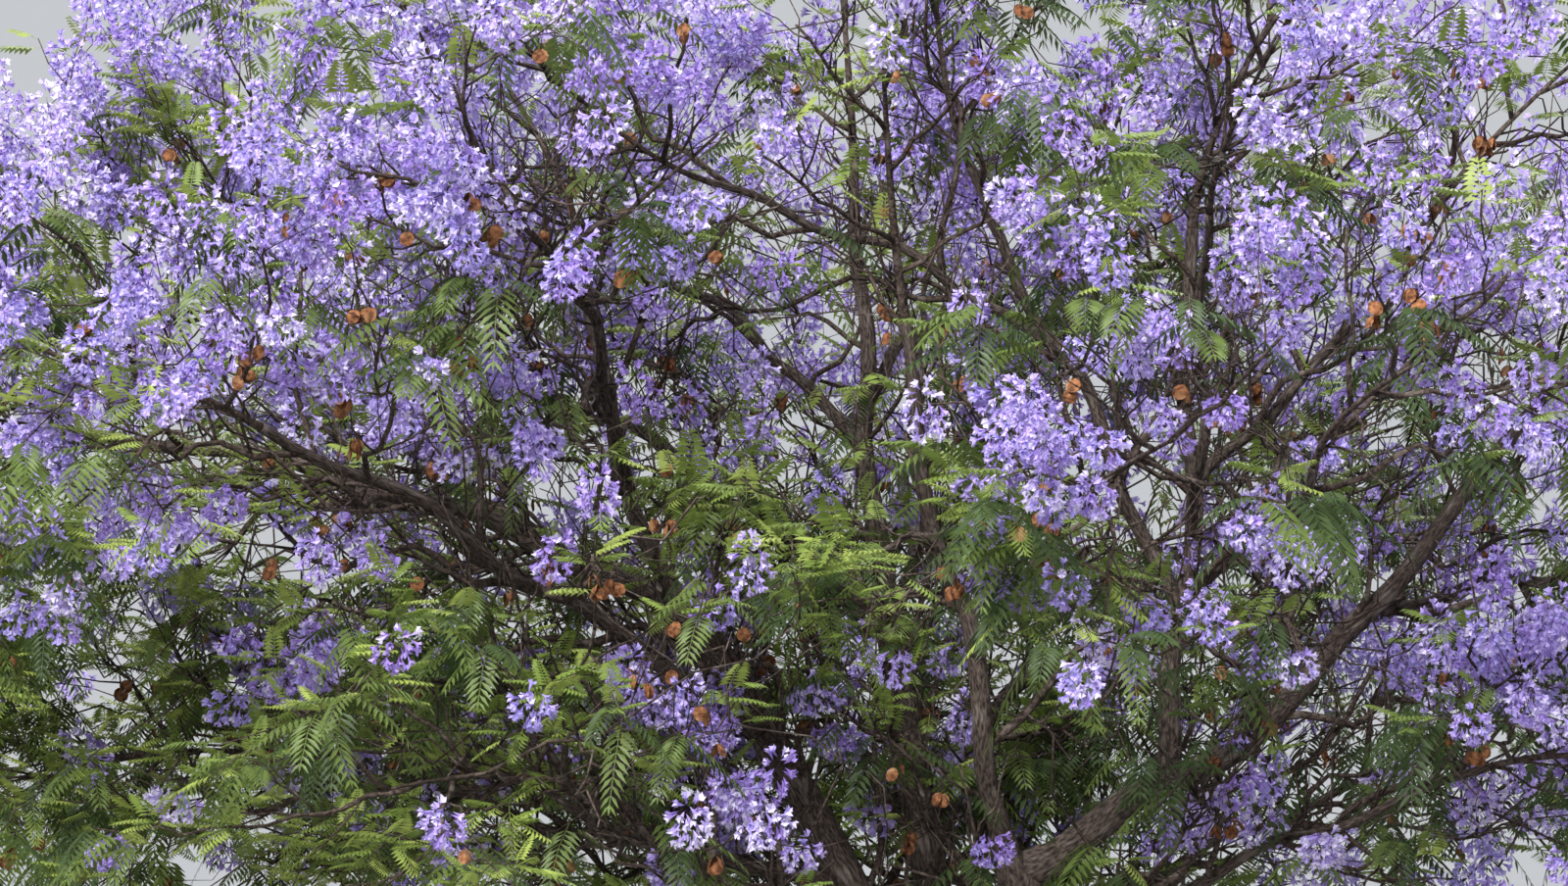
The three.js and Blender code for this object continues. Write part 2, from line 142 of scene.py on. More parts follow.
class WoodAxis:
    """The middle line of a limb or twig: one bend, and a small wander that fades out at both ends."""

    def __init__(self, foot, elbow, tip, wander=0.0, phase=0.0):
        self.foot, self.elbow, self.tip = foot, elbow, tip
        self.wander, self.phase = wander, phase

    def point(self, t):
        t = np.asarray(t, float)[..., None]
        bend = (1 - t) ** 2 * self.foot + 2 * (1 - t) * t * self.elbow + t**2 * self.tip
        turn = 2 * math.pi * (WAVES * t + self.phase)
        sway = [np.sin(turn), np.cos(WAVE_PACES[0] * turn), np.sin(WAVE_PACES[1] * turn)]
        return bend + self.wander * np.sin(math.pi * t) * np.concatenate(sway, axis=-1)

    def tangent(self, t):
        t = np.asarray(t, float)
        before, after = np.maximum(t - STEP, 0), np.minimum(t + STEP, 1)
        return unit(self.point(after) - self.point(before))


def across_of(direction):
    level = np.array((1.0, 0.0, 0.0)) if abs(direction[2]) > STEEP else UP
    side = unit(np.cross(direction, level))
    return side, np.cross(side, direction)


def trunk_radius(t, angle):
    """The trunk tapers from its flare of ribs at the ground to a low dome where it forks."""
    height = TRUNK_HEIGHT * t
    flare = FLARE_OUT * np.exp(-height / FLARE_HEIGHT) * (1 + RIB_DEPTH * np.cos(FLARE_RIBS * angle))
    dome = np.maximum(0, 1 - (TRUNK_HEIGHT - height) / DOME_HEIGHT)
    return (mix(*TRUNK_RADII, t) + flare) * np.sqrt(1 - DOME_DEPTH * dome**2)


def limb_radius(foot, tip, parent_radius, reach, is_stem):
    """A limb tapers from the swelling at its foot. A stem's end is rounded, since boughs go on from it."""
    swelling = np.clip(SWELL_SHARE * parent_radius / foot - 1, *SWELL_LIMITS)

    def radius_at(t, angle):
        past = np.maximum(0, t * reach - SWELL_START * parent_radius)
        swollen = mix(foot, tip, t) * (1 + swelling * np.exp(-past / (SWELL_FADE * parent_radius)))
        ending = np.maximum(0, 1 - (1 - t) * reach / (END_LENGTH * tip)) if is_stem else 0
        return swollen * np.sqrt(1 - END_DEPTH * ending**2)

    return radius_at


limbs = {
    "trunk": {
        "axis": WoodAxis(np.zeros(3), UP * TRUNK_HEIGHT / 2, np.array((-TRUNK_LEAN, 0, TRUNK_HEIGHT))),
        "ends": TRUNK_RADII, "bloom": None,
    }
}
for number, (name, leaves, at, rise, bearing, out, up, foot_radius, tip_radius, bloom) in enumerate(LIMBS, 1):
    parent = limbs[leaves]
    foot = parent["axis"].point(at)
    bearing, rise = math.radians(bearing), math.radians(rise)
    tip = np.array((out * math.cos(bearing), out * math.sin(bearing), up))
    reach = float(np.linalg.norm(tip - foot))
    heading = unit(np.array((tip[0] - foot[0], tip[1] - foot[1], 0))) * math.cos(rise) + UP * math.sin(rise)
    wander = 0 if bloom is None else WANDER_SHARE * reach
    limbs[name] = {
        "axis": WoodAxis(foot, foot + heading * BEND_SHARE * reach, tip, wander, seeded(number)()),
        "radius_at": limb_radius(foot_radius, tip_radius, mix(*parent["ends"], at), reach, bloom is None),
        "ends": (foot_radius, tip_radius), "reach": reach, "bloom": bloom,
    }

LUMPS_AROUND, LUMPS_ALONG, LUMP_EASE, LUMP_SHARE = 3, 2.2, 0.04, 0.06
FURROWS_ACROSS, FURROWS_ALONG, FURROW_WIDTH = 42, 7, 0.22
SEEDS_APART = 9
LEAST_DEPTH, DEEP_RADIUS = 0.4, 0.1


def rough_radius(radius, angle, along, relief, seed):
    """The radius at one spot of the bark, with broad lumps on it and long furrows cut into it."""
    x, y = math.cos(angle), math.sin(angle)
    lump_at = (LUMPS_AROUND * x + seed, LUMPS_AROUND * y, LUMPS_ALONG * along / (LUMP_EASE + radius))
    furrow_along = FURROWS_ALONG * along + SEEDS_APART * seed
    furrow_at = (FURROWS_ACROSS * radius * x, FURROWS_ACROSS * radius * y, furrow_along)
    furrow = max(0.0, 1 - abs(noise.noise(Vector(furrow_at))) / FURROW_WIDTH)
    depth = relief * (LEAST_DEPTH + radius / DEEP_RADIUS)
    return radius * (1 + LUMP_SHARE * noise.noise(Vector(lump_at))) - depth * furrow


def tube(axis, radius_at, sides, rings, relief=0.0, seed=0):
    """A closed tube along an axis: its spots, four-sided faces, end faces and places on the bark."""
    t = np.linspace(0, 1, rings + 1)
    centres, along = axis.point(t), axis.tangent(t)
    side = across_of(along[0])[0]
    sides_of = []
    for heading in along:
        side = unit(side - heading * side.dot(heading))
        sides_of.append(side)
    sides_of = np.array(sides_of)[:, None]
    over = np.cross(sides_of, along[:, None])
    angles = 2 * math.pi * np.arange(sides) / sides
    radius = np.broadcast_to(radius_at(t[:, None], angles[None]), (rings + 1, sides)).copy()
    length = np.concatenate([[0], np.cumsum(np.linalg.norm(np.diff(centres, axis=0), axis=1))])
    if relief:
        for i in range(rings + 1):
            for j in range(sides):
                radius[i, j] = rough_radius(radius[i, j], angles[j], length[i], relief, seed)
    spots = centres[:, None] + radius[..., None] * (
        np.cos(angles)[None, :, None] * sides_of + np.sin(angles)[None, :, None] * over
    )
    spots = np.concatenate([spots.reshape(-1, 3), centres[:1], centres[-1:]])
    i, j = (grid.ravel() for grid in np.meshgrid(np.arange(rings), np.arange(sides), indexing="ij"))
    low, low_next = i * sides + j, i * sides + (j + 1) % sides
    quads = np.stack([low, low + sides, low_next + sides, low_next], axis=1)
    around, around_next = np.arange(sides), (np.arange(sides) + 1) % sides
    last = rings * sides
    foot_cap = np.stack([np.full(sides, len(spots) - 2), around, around_next], axis=1)
    tip_cap = np.stack([np.full(sides, len(spots) - 1), last + around_next, last + around], axis=1)
    u = np.stack([j, j, j + 1, j + 1], axis=1) / sides * (2 * math.pi * radius.mean())
    v = length[np.stack([i, i + 1, i + 1, i], axis=1)]
    return spots, quads, np.concatenate([foot_cap, tip_cap]), np.stack([u, v], axis=-1)


def joined_piece(name, shapes, materials, smooth=True):
    """One mesh of many shapes, each its spots and then its faces, grouped by how many corners they have."""
    spots, corners, sizes, count = [], [], [], 0
    for shape_spots, *faces in shapes:
        spots.append(shape_spots)
        for group in faces:
            corners.append((group + count).ravel())
            sizes.append(np.full(len(group), group.shape[1]))
        count += len(shape_spots)
    spots, corners, sizes = np.concatenate(spots), np.concatenate(corners), np.concatenate(sizes)
    mesh = bpy.data.meshes.new(name)
    mesh.vertices.add(len(spots))
    mesh.vertices.foreach_set("co", spots.astype(np.float32).ravel())
    mesh.loops.add(len(corners))
    mesh.loops.foreach_set("vertex_index", corners.astype(np.int32))
    mesh.polygons.add(len(sizes))
    mesh.polygons.foreach_set("loop_start", np.concatenate([[0], np.cumsum(sizes)[:-1]]).astype(np.int32))
    mesh.polygons.foreach_set("use_smooth", np.full(len(sizes), smooth))
    mesh.update(calc_edges=True)
    for material in materials:
        mesh.materials.append(material)
    piece = bpy.data.objects.new(name, mesh)
    bpy.context.scene.collection.objects.link(piece)
    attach(piece, "root")
    return piece


def new_node(nodes, kind, **values):
    """A shader node with its plain values filled in by the names of its sockets, with _ for a space."""
    node = nodes.new(f"ShaderNode{kind}")
    for socket, value in values.items():
        node.inputs[socket.replace("_", " ")].default_value = value
    return node


def wire(tree, *links):
    """Links nodes, each link as a node and its output's name, and a node and its input's name or number."""
    for start, output, end, put_in in links:
        tree.links.new(start.outputs[output], end.inputs[put_in])


def bark_group():
    """Furrowed bark for the trunk, boughs, twigs and pods: plates of two browns with pale crusts on them."""
    group = bpy.data.node_groups.new("bark", "ShaderNodeTree")
    for name, way, kind in (
        ("Vector", "INPUT", "Vector"), ("Dark", "INPUT", "Color"), ("Light", "INPUT", "Color"),
        ("Crust", "INPUT", "Color"), ("Color", "OUTPUT", "Color"), ("Roughness", "OUTPUT", "Float"),
        ("Height", "OUTPUT", "Float"),
    ):
        group.interface.new_socket(name, in_out=way, socket_type=f"NodeSocket{kind}")
    nodes = group.nodes
    given, put_out = nodes.new("NodeGroupInput"), nodes.new("NodeGroupOutput")
    plates = new_node(nodes, "TexNoise", Scale=38, Detail=6)
    patches = new_node(nodes, "TexNoise", Scale=9, Detail=4)
    furrows = new_node(nodes, "MapRange", From_Min=0.38, From_Max=0.62)
    crusts = new_node(nodes, "MapRange", From_Min=0.56, From_Max=0.72)
    rough = new_node(nodes, "MapRange", To_Min=0.95, To_Max=0.72)
    browns, crusted = nodes.new("ShaderNodeMix"), nodes.new("ShaderNodeMix")
    browns.data_type = crusted.data_type = "RGBA"
    wire(
        group, (given, "Vector", plates, "Vector"), (given, "Vector", patches, "Vector"),
        (plates, "Fac", furrows, "Value"), (patches, "Fac", crusts, "Value"),
        (furrows, "Result", browns, "Factor"), (given, "Dark", browns, "A"), (given, "Light", browns, "B"),
        (crusts, "Result", crusted, "Factor"), (browns, "Result", crusted, "A"),
        (given, "Crust", crusted, "B"), (furrows, "Result", rough, "Value"),
        (crusted, "Result", put_out, "Color"), (rough, "Result", put_out, "Roughness"),
        (furrows, "Result", put_out, "Height"),
    )
    return group


BARK = bark_group()


def bark_material(name, stretch, dark, light, crust, on_uv=False):
    material = bpy.data.materials.new(name)
    material.use_nodes = True
    nodes = material.node_tree.nodes
    shader = nodes["Principled BSDF"]
    shader.inputs["Specular IOR Level"].default_value = 0.25
    place, stretched = nodes.new("ShaderNodeTexCoord"), new_node(nodes, "Mapping", Scale=stretch)
    bark, bump = nodes.new("ShaderNodeGroup"), new_node(nodes, "Bump", Distance=0.004, Strength=0.7)
    bark.node_tree = BARK
    for socket, colour in (("Dark", dark), ("Light", light), ("Crust", crust)):
        bark.inputs[socket].default_value = (*colour, 1)
    wire(
        material.node_tree, (place, "UV" if on_uv else "Object", stretched, "Vector"),
        (stretched, "Vector", bark, "Vector"), (bark, "Height", bump, "Height"),
        (bark, "Color", shader, "Base Color"), (bark, "Roughness", shader, "Roughness"),
        (bump, "Normal", shader, "Normal"),
    )
    return material


def bark_piece(name, shapes, material):
    """A piece of tubes with its bark wrapped on, so that the furrows run along each limb."""
    piece = joined_piece(name, [shape[:3] for shape in shapes], [material])
    wrap = piece.data.uv_layers.new(name="bark")
    flat = np.concatenate([
        np.concatenate([places.reshape(-1, 2), np.zeros((3 * len(caps), 2))]) for _, _, caps, places in shapes
    ])
    wrap.data.foreach_set("uv", flat.astype(np.float32).ravel())
    return piece


trunk_bark = bark_material(
    "trunk_bark", stretch=(2.2, 0.6, 1), dark=(0.022, 0.017, 0.014), light=(0.1, 0.08, 0.068),
    crust=(0.18, 0.165, 0.145), on_uv=True,
)
trunk_shape = tube(limbs["trunk"]["axis"], trunk_radius, sides=72, rings=64, relief=0.003, seed=1)
trunk_shape[0][:, 2] = np.maximum(trunk_shape[0][:, 2], 0)
trunk = bark_piece("trunk_wood", [trunk_shape], trunk_bark)
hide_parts("trunk")

bough_bark = bark_material(
    "bough_bark", stretch=(2.6, 0.7, 1), dark=(0.019, 0.014, 0.011), light=(0.094, 0.069, 0.057),
    crust=(0.18, 0.153, 0.135), on_uv=True,
)
THICK_RADIUS = 0.06
SIDES = {"stem": 36, "thick": 26, "thin": 14}
RING_GAPS = {"stem": 0.022, "thick": 0.022, "thin": 0.032}
bough_shapes = []
for number, limb in enumerate(list(limbs.values())[1:], 1):
    build = "stem" if limb["bloom"] is None else "thick" if limb["ends"][0] > THICK_RADIUS else "thin"
    sides, rings = SIDES[build], round(limb["reach"] / RING_GAPS[build])
    bough_shapes.append(tube(limb["axis"], limb["radius_at"], sides, rings, relief=0.0016, seed=number))
boughs = bark_piece("boughs_wood", bough_shapes, bough_bark)
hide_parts(*(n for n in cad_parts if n.startswith(("stem_", "bough_"))))


# The twigs, thin, dark and sinuous: a stem grows on from each bough's tip, with twigs round it by the golden
# turn and finer ones along those, by the rule of the solids. They fill a crown that is a dome on a flatter
# underside, where those twigs keep to the space of their own mass.
CROWN_HALVES = np.array((5.0, 4.7))
CROWN_TOP, CROWN_WAIST, CROWN_BOTTOM = 7.4, 3.9, 1.9
HEART = np.array((-0.35, 0.0, CROWN_WAIST))
GOLDEN_TURN = 137.5
FIRST_MASS_SEED = 100
MASS_STEM, STEM_SHARES, STEM_OUTWARD, STEM_THICK, MASS_MIDDLE = 1.05, (0.9, 1.1), 0.9, 0.9, 0.7
CLEARANCE = 0.012
STRETCHES, PROBES = 14, 9

masses = []
for name, limb in limbs.items():
    if limb["bloom"] is not None:
        draw = seeded(FIRST_MASS_SEED + len(masses))
        tip, along = limb["axis"].point(1), limb["axis"].tangent(1)
        heading = unit(along + STEM_OUTWARD * unit(tip - HEART))
        radius, length = STEM_THICK * limb["ends"][1], MASS_STEM * mix(*STEM_SHARES, draw())
        masses.append({
            "name": name, "bloom": limb["bloom"], "tip": tip, "radius": radius, "draw": draw,
            "stem": WoodAxis(tip - along * radius / 2, tip + along * length / 3, tip + heading * length),
            "middle": tip + heading * MASS_MIDDLE * MASS_STEM,
        })
middles = np.array([mass["middle"] for mass in masses])

lines = np.array([limb["axis"].point(np.linspace(0, 1, STRETCHES + 1)) for limb in limbs.values()])
stretch_from, stretch_to = lines[:, :-1].reshape(-1, 3), lines[:, 1:].reshape(-1, 3)
shares = np.arange(STRETCHES) / STRETCHES
stretch_radius = np.concatenate([mix(*limb["ends"], shares) for limb in limbs.values()])


def crown_share(spot):
    """How far out in the crown a spot is, from 0 at its heart to 1 at its skin."""
    is_above = spot[2] > CROWN_WAIST
    height, power = (CROWN_TOP - CROWN_WAIST, 2) if is_above else (CROWN_WAIST - CROWN_BOTTOM, 4)
    share = (spot[:2] - HEART[:2]) / CROWN_HALVES
    return share.dot(share) + (abs(spot[2] - CROWN_WAIST) / height) ** power


def in_crown(spot, margin=1.0):
    """Whether a spot is in the crown, also when it is moved out from the heart by the margin."""
    return crown_share(HEART + (spot - HEART) * margin if margin > 1 else spot) < 1


def in_space(spot, number):
    """Whether a spot is in the crown and nearer the middle of its own mass than any other's."""
    squares = ((middles - spot) ** 2).sum(axis=1)
    between = np.linalg.norm(middles - middles[number], axis=1)
    between[number] = 1
    margin = (squares - squares[number]) / (2 * between)
    margin[number] = 1
    return margin.min() > CLEARANCE and in_crown(spot)


def touches_limb(start, end, radius):
    probes = mix(start, end, np.linspace(0, 1, PROBES)[:, None])[:, None]
    run = stretch_to - stretch_from
    share = np.clip(((probes - stretch_from) * run).sum(-1) / (run * run).sum(-1), 0, 1)
    apart = np.linalg.norm(probes - stretch_from - share[..., None] * run, axis=-1)
    return bool((apart < stretch_radius + radius + CLEARANCE).any())


def shoot_from(parent, along, around, spread, length, lift, wander=0.0, phase=0.0):
    root, heading = parent.point(along), parent.tangent(along)
    side, over = across_of(heading)
    around, spread = math.radians(around), math.radians(spread)
    away = side * math.cos(around) + over * math.sin(around)
    heading = heading * math.cos(spread) + away * math.sin(spread)
    tip = root + heading * length + UP * lift * length
    return WoodAxis(root, root + heading * length / 2, tip, wander, phase)


# Towards the camera many boughs show, up to a share of their length, and the stems of some masses. Leaves
# show in pockets of the blossom there, and bunches stand close in others, each given as across and up at the
# crown's middle, and how far round it goes.
OPEN_BOUGHS = {
    "stem_left": 0.9, "left_sweep": 0.9, "left_upright": 0.9, "right_arm": 0.85, "right_upright": 1.0,
    "cross": 0.9, "right_high": 1.0, "arch": 0.9, "centre_rise": 0.7, "stem_right": 0.8, "stem_middle": 0.7,
    "left_front": 0.6, "left_low": 0.6,
}
OPEN_STEMS = (
    "left_upright", "middle_upright", "right_upright", "right_high", "cross", "arch", "front_high_right",
)
STEM_OPEN, OPEN_PROBES, OPEN_MARGIN, IN_FRONT = 0.85, 40, 0.15, 0.03
LEAF_POCKETS = [
    (-0.55, 4.8, 0.45), (-0.2, 4.35, 0.3), (0.85, 4.5, 0.15), (-3.45, 5.6, 0.28), (-4.05, 5.15, 0.25),
    (-1.7, 5.4, 0.2), (-0.7, 6.05, 0.25), (-2.5, 5.8, 0.2), (-2.4, 4.85, 0.25), (0.77, 5.0, 0.18),
    (2.3, 5.5, 0.3), (1.5, 5.35, 0.2), (1.5, 4.2, 0.3), (0.0, 3.85, 0.5), (-1.2, 4.0, 0.3),
    (-0.75, 5.25, 0.25), (0.75, 3.2, 0.4), (0.2, 3.1, 0.4), (-0.5, 3.9, 0.4), (0.3, 3.75, 0.3),
    (-0.1, 4.75, 0.3),
]
BLOOM_POCKETS = [
    (0.26, 4.5, 0.26), (0.56, 4.8, 0.22), (0.56, 4.22, 0.2), (1.05, 4.58, 0.2), (0.9, 4.2, 0.15),
    (1.68, 5.1, 0.22), (1.93, 4.9, 0.3), (1.3, 4.85, 0.2), (1.3, 3.9, 0.2), (0.95, 3.76, 0.16),
    (1.72, 3.5, 0.26), (2.32, 3.42, 0.3), (2.4, 3.08, 0.25), (2.05, 2.83, 0.2), (-1.85, 4.85, 0.2),
    (-1.46, 4.57, 0.22), (-2.0, 4.25, 0.26), (-2.45, 4.4, 0.25), (-2.25, 5.76, 0.35), (-1.16, 5.85, 0.35),
    (-1.38, 3.26, 0.2), (-1.16, 3.05, 0.2), (-1.03, 2.65, 0.18), (-3.0, 3.85, 0.18), (-3.0, 3.3, 0.15),
    (0.4, 3.68, 0.13), (0.55, 3.3, 0.14), (-0.2, 2.7, 0.18),
]
POCKET_BACK = 1.0


def in_view(spots):
    """Spots as the camera sees them: across and up at the crown's middle, in metres."""
    away = spots - np.array(CAMERA_EYE)
    return away[..., [0, 2]] * (-CAMERA_EYE.y / away[..., 1:2]) + np.array((CAMERA_EYE.x, CAMERA_EYE.z))


open_lines = []
open_axes = [(limbs[name]["axis"], until) for name, until in OPEN_BOUGHS.items()]
open_axes += [(mass["stem"], STEM_OPEN) for mass in masses if mass["name"] in OPEN_STEMS]
for axis, until in open_axes:
    ends = axis.point(np.linspace(0, until, OPEN_PROBES))
    open_lines.append(np.concatenate([in_view(ends), ends[:, 1:2]], axis=1))
open_lines = np.concatenate(open_lines)


def hides_bough(spot):
    seen = in_view(spot)
    in_front = open_lines[:, 2] > spot[1] + IN_FRONT
    return bool((in_front & (np.linalg.norm(open_lines[:, :2] - seen, axis=1) < OPEN_MARGIN)).any())


def in_pocket(spot, pockets):
    across, up = in_view(spot)
    return spot[1] < POCKET_BACK and any(math.hypot(across - x, up - z) < radius for x, z, radius in pockets)


# What the shoots carry: short twigs that end in a panicle or a rosette of leaves, fewest at the crown's
# heart and most at its skin, and last year's pods. Regions that are fuller, barer or leafier than the rest
# are boxes, from and to across, back and up.
FAR = 99.0
ANY = (-FAR, FAR)
REGIONS = {
    "behind": ((-1.4, 1.4), (0.2, FAR), (4.3, FAR)),
    "high_right": ((1.3, FAR), ANY, (5.0, FAR)),
    "low_right": ((0.9, FAR), ANY, (-FAR, 3.7)),
    "high_left": ((-FAR, -2.2), ANY, (4.3, FAR)),
    "leafy_above": ((-2.2, FAR), ANY, (4.2, 5.0)),
    "leafy_below": ((-FAR, -0.9), ANY, (-FAR, 4.2)),
    "full_left": ((-FAR, -2.0), ANY, ANY),
    "full_back": (ANY, (1.4, FAR), (4.0, FAR)),
    "rising_left": ((-FAR, -2.0), ANY, (4.4, FAR)),
}
TWIG_SHAPES = {
    # radius at foot and tip, sides, rings
    "twig": (0.013, 0.0065, 5, 7),
    "spray": (0.0065, 0.0026, 4, 5),
    "filler": (0.006, 0.0025, 3, 4),
    "runner": (0.007, 0.0025, 3, 8),
    "leader": (0.009, 0.003, 4, 7),
    "leader_shoot": (0.005, 0.0024, 3, 3),
    "side": (0.006, 0.0028, 3, 4),
    "bare": (0.0046, 0.002, 3, 4),
    "long_bare": (0.0065, 0.0024, 3, 7),
    "short": (0.0034, 0.002, 3, 1),
    "panicle_stalk": (0.0018, 0.0008, 3, 1),
    "pod_stalk": (0.0022, 0.0022, 3, 1),
}
FREE_FROM, SHOOT_ROOM = 0.2, 0.01
HIGH_FROM, HIGH_BLOOM = 4.5, 0.93
BLOOM_START, BLOOM_RAMP, BLOOM_RIGHT, BLOOM_MOST = 2.75, 2.5, 0.15, 0.88
BLOOM_LEAST, LEAST_RIGHT, LEAST_LIMITS = 0.2, 0.05, (0.12, 0.25)
PANICLE_LENGTHS, PANICLE_ROOM, PANICLE_LIFT, PANICLES_OFF = (0.14, 0.23), 0.13, 0.15, 0.8
LEAF_SPREADS, LEAF_ROOM, ROSETTES_OFF, LEVELLING = (40, 75), -0.02, 0.75, (1, 1, 0.45)
MATURE_LENGTHS, MATURE_LIFT = (0.24, 0.36), -0.35
YOUNG_LENGTHS, YOUNG_LIFT = (0.15, 0.25), 0.12
# painted shade in part: the share of mature, darker leaves rises low on the right
MATURE_SHARE, MATURE_SHADE_RIGHT, MATURE_BELOW, MATURE_LIMITS = 0.3, 0.12, 4.4, (0.25, 0.6)
SMALL_LEFT, SMALL_BELOW, SMALL_SHARE = -0.3, 3.9, 0.85
LEAST_FULLNESS, LEAST_BEHIND, HOLLOW, HOLLOW_RAMP = 0.35, 0.85, 0.1, 0.5
FULL_BELOW, FULL_RAMP = 4.4, 0.8
HIGH_RIGHT, HIGH_LEFT, LOW_RIGHT = 0.7, 0.6, 0.7
SHORT_COUNTS, SHORT_PLACES, SHORT_LENGTHS = (3.0, 5.0), (0.35, 0.95), (0.08, 0.3)
BUNCH_SHARE, BUNCH_LONGER, BUNCH_TWIG = 0.88, 0.03, 0.2
POCKET_BLOOM, STRAY_LEAVES, STRAY_BLOOM = 0.2, 0.1, 0.05
MIXED_SHARE, MIXED_LEAVES, MIXED_FROM = 0.12, 3, 0.3
ROSETTE_FROM, ROSETTE_LEAVES, LEAFY_LEAVES = 0.72, (3, 6), (4, 7)
POD_SHARE, POD_PLACES, POD_COUNTS = 0.2, (0.25, 0.7), (1, 4)
box_low, box_high = np.array(cad_low), np.array(cad_high)
twigs, panicles, leaves, pods = [], [], [], []
rng = np.random.default_rng(7)


def is_within(spot, region):
    return all(low < value < high for value, (low, high) in zip(spot, REGIONS[region]))


def room_at(tip):
    """How far a tip is inside the box of the tree's solids."""
    return min((tip - box_low).min(), (box_high - tip).min())


def touches(shoot, room=SHOOT_ROOM):
    return touches_limb(shoot.point(FREE_FROM), shoot.point(1.0), room)


def pick(span):
    """A value drawn from a span, or the value itself where it is given as one number."""
    return rng.uniform(*span) if isinstance(span, tuple) else span


def stray_shoot(parent, along, spread, length, lift, sway):
    """A shoot that leaves its parent at any turn. Its measures are spans or numbers."""
    length = pick(length)
    along, around, spread = pick(along), rng.uniform(0, 360), pick(spread)
    return shoot_from(parent, along, around, spread, length, pick(lift), sway * length, rng.random())


def add_tube(axis, foot_radius, tip_radius, sides, rings):
    twigs.append(tube(axis, lambda t, angle: mix(foot_radius, tip_radius, t), sides, rings)[:3])


def add_twig(axis, kind, stout=1.0):
    foot_radius, tip_radius, sides, rings = TWIG_SHAPES[kind]
    add_tube(axis, stout * foot_radius, stout * tip_radius, sides, rings)


def bloom_share(spot):
    """The share of shoots that bloom: nearly all high up, few low down, fewest low on the left."""
    across, up = in_view(spot)
    if up > HIGH_FROM:
        return HIGH_BLOOM
    least = np.clip(BLOOM_LEAST + LEAST_RIGHT * across, *LEAST_LIMITS)
    return np.clip((up - BLOOM_START + BLOOM_RIGHT * max(across, 0)) / BLOOM_RAMP, least, BLOOM_MOST)


def add_panicle(shoot, longer=0.0):
    base, heading = shoot.point(1.0), shoot.tangent(1.0)
    length = rng.uniform(*PANICLE_LENGTHS) + longer
    if room_at(base) < PANICLE_ROOM or (hides_bough(base) and rng.random() < PANICLES_OFF):
        return
    panicles.append((base, unit(heading + PANICLE_LIFT * UP), length))


def add_rosette(shoot, count, first=ROSETTE_FROM):
    """Leaves turn by turn round the end of a twig, young ones held out level and mature ones hanging."""
    base = shoot.point(1.0)
    if hides_bough(base) and rng.random() < ROSETTES_OFF:
        return
    across, up = in_view(base)
    # painted shade in part: more of the mature, darker leaves low on the right
    mature_share = MATURE_SHARE + MATURE_SHADE_RIGHT * across * (up < MATURE_BELOW)
    mature = rng.random() < np.clip(mature_share, *MATURE_LIMITS)
    turn = rng.uniform(0, 360)
    for i in range(count):
        along = mix(first, 1.0, i / max(1, count - 1))
        leaf = shoot_from(shoot, along, turn + GOLDEN_TURN * i, rng.uniform(*LEAF_SPREADS), 1.0, 0.0)
        heading = unit(leaf.tangent(0.0) * LEVELLING + (MATURE_LIFT if mature else YOUNG_LIFT) * UP)
        length = rng.uniform(*(MATURE_LENGTHS if mature else YOUNG_LENGTHS))
        if across < SMALL_LEFT and up < SMALL_BELOW:
            length *= SMALL_SHARE
        if room_at(leaf.point(0.0) + heading * length) > LEAF_ROOM:
            leaves.append((leaf.point(0.0), heading, length, mature))


def dress(shoot, in_bloom, fullness=1.0):
    """Gives a shoot its short twigs with their panicles and rosettes, and now and then some pods."""
    tip = shoot.point(1.0)
    least = LEAST_BEHIND if is_within(tip, "behind") else LEAST_FULLNESS
    outward = np.clip((crown_share(tip) - HOLLOW) / HOLLOW_RAMP, least, 1.0)
    fullness *= max(outward, np.clip((FULL_BELOW - tip[2]) / FULL_RAMP, 0.0, 1.0))
    if is_within(tip, "high_right"):
        fullness *= HIGH_RIGHT
    count = max(1, round(fullness * rng.uniform(*SHORT_COUNTS)))
    share = bloom_share(tip)
    if is_within(tip, "high_left"):
        in_bloom = in_bloom or rng.random() < HIGH_LEFT
    for i in range(count):
        side, length = shoot, 1.0
        if i < count - 1:
            length = rng.uniform(*SHORT_LENGTHS)
            around, spread = GOLDEN_TURN * i + rng.uniform(0, 70), rng.uniform(35, 65)
            place, sway = mix(*SHORT_PLACES, i / count), 0.05 * length
            side = shoot_from(shoot, place, around, spread, length, 0.12, sway, rng.random())
            add_twig(side, "short")
        end = side.point(1.0)
        in_bunch = in_pocket(end, BLOOM_POCKETS)
        if in_bunch:
            blooms = rng.random() < BUNCH_SHARE
        else:
            thinned = POCKET_BLOOM if in_pocket(end, LEAF_POCKETS) else 1.0
            blooms = in_bloom and rng.random() < share * thinned
            blooms = blooms != (rng.random() < (STRAY_LEAVES if blooms else STRAY_BLOOM))
        if blooms:
            add_panicle(side, BUNCH_LONGER if in_bunch else 0.0)
            if in_bunch and length < BUNCH_TWIG:
                along, around = rng.uniform(0.5, 0.95), rng.uniform(0, 360)
                add_panicle(shoot_from(shoot, along, around, spread=60, length=0.1, lift=0.1))
            if rng.random() < MIXED_SHARE:
                add_rosette(side, MIXED_LEAVES, MIXED_FROM)
        elif not is_within(tip, "low_right") or rng.random() < LOW_RIGHT:
            is_leafy = is_within(tip, "leafy_above") or is_within(tip, "leafy_below")
            add_rosette(side, rng.integers(*(LEAFY_LEAVES if is_leafy else ROSETTE_LEAVES)))
    if rng.random() < POD_SHARE:
        pods.append((shoot.point(rng.uniform(*POD_PLACES)), rng.integers(*POD_COUNTS)))


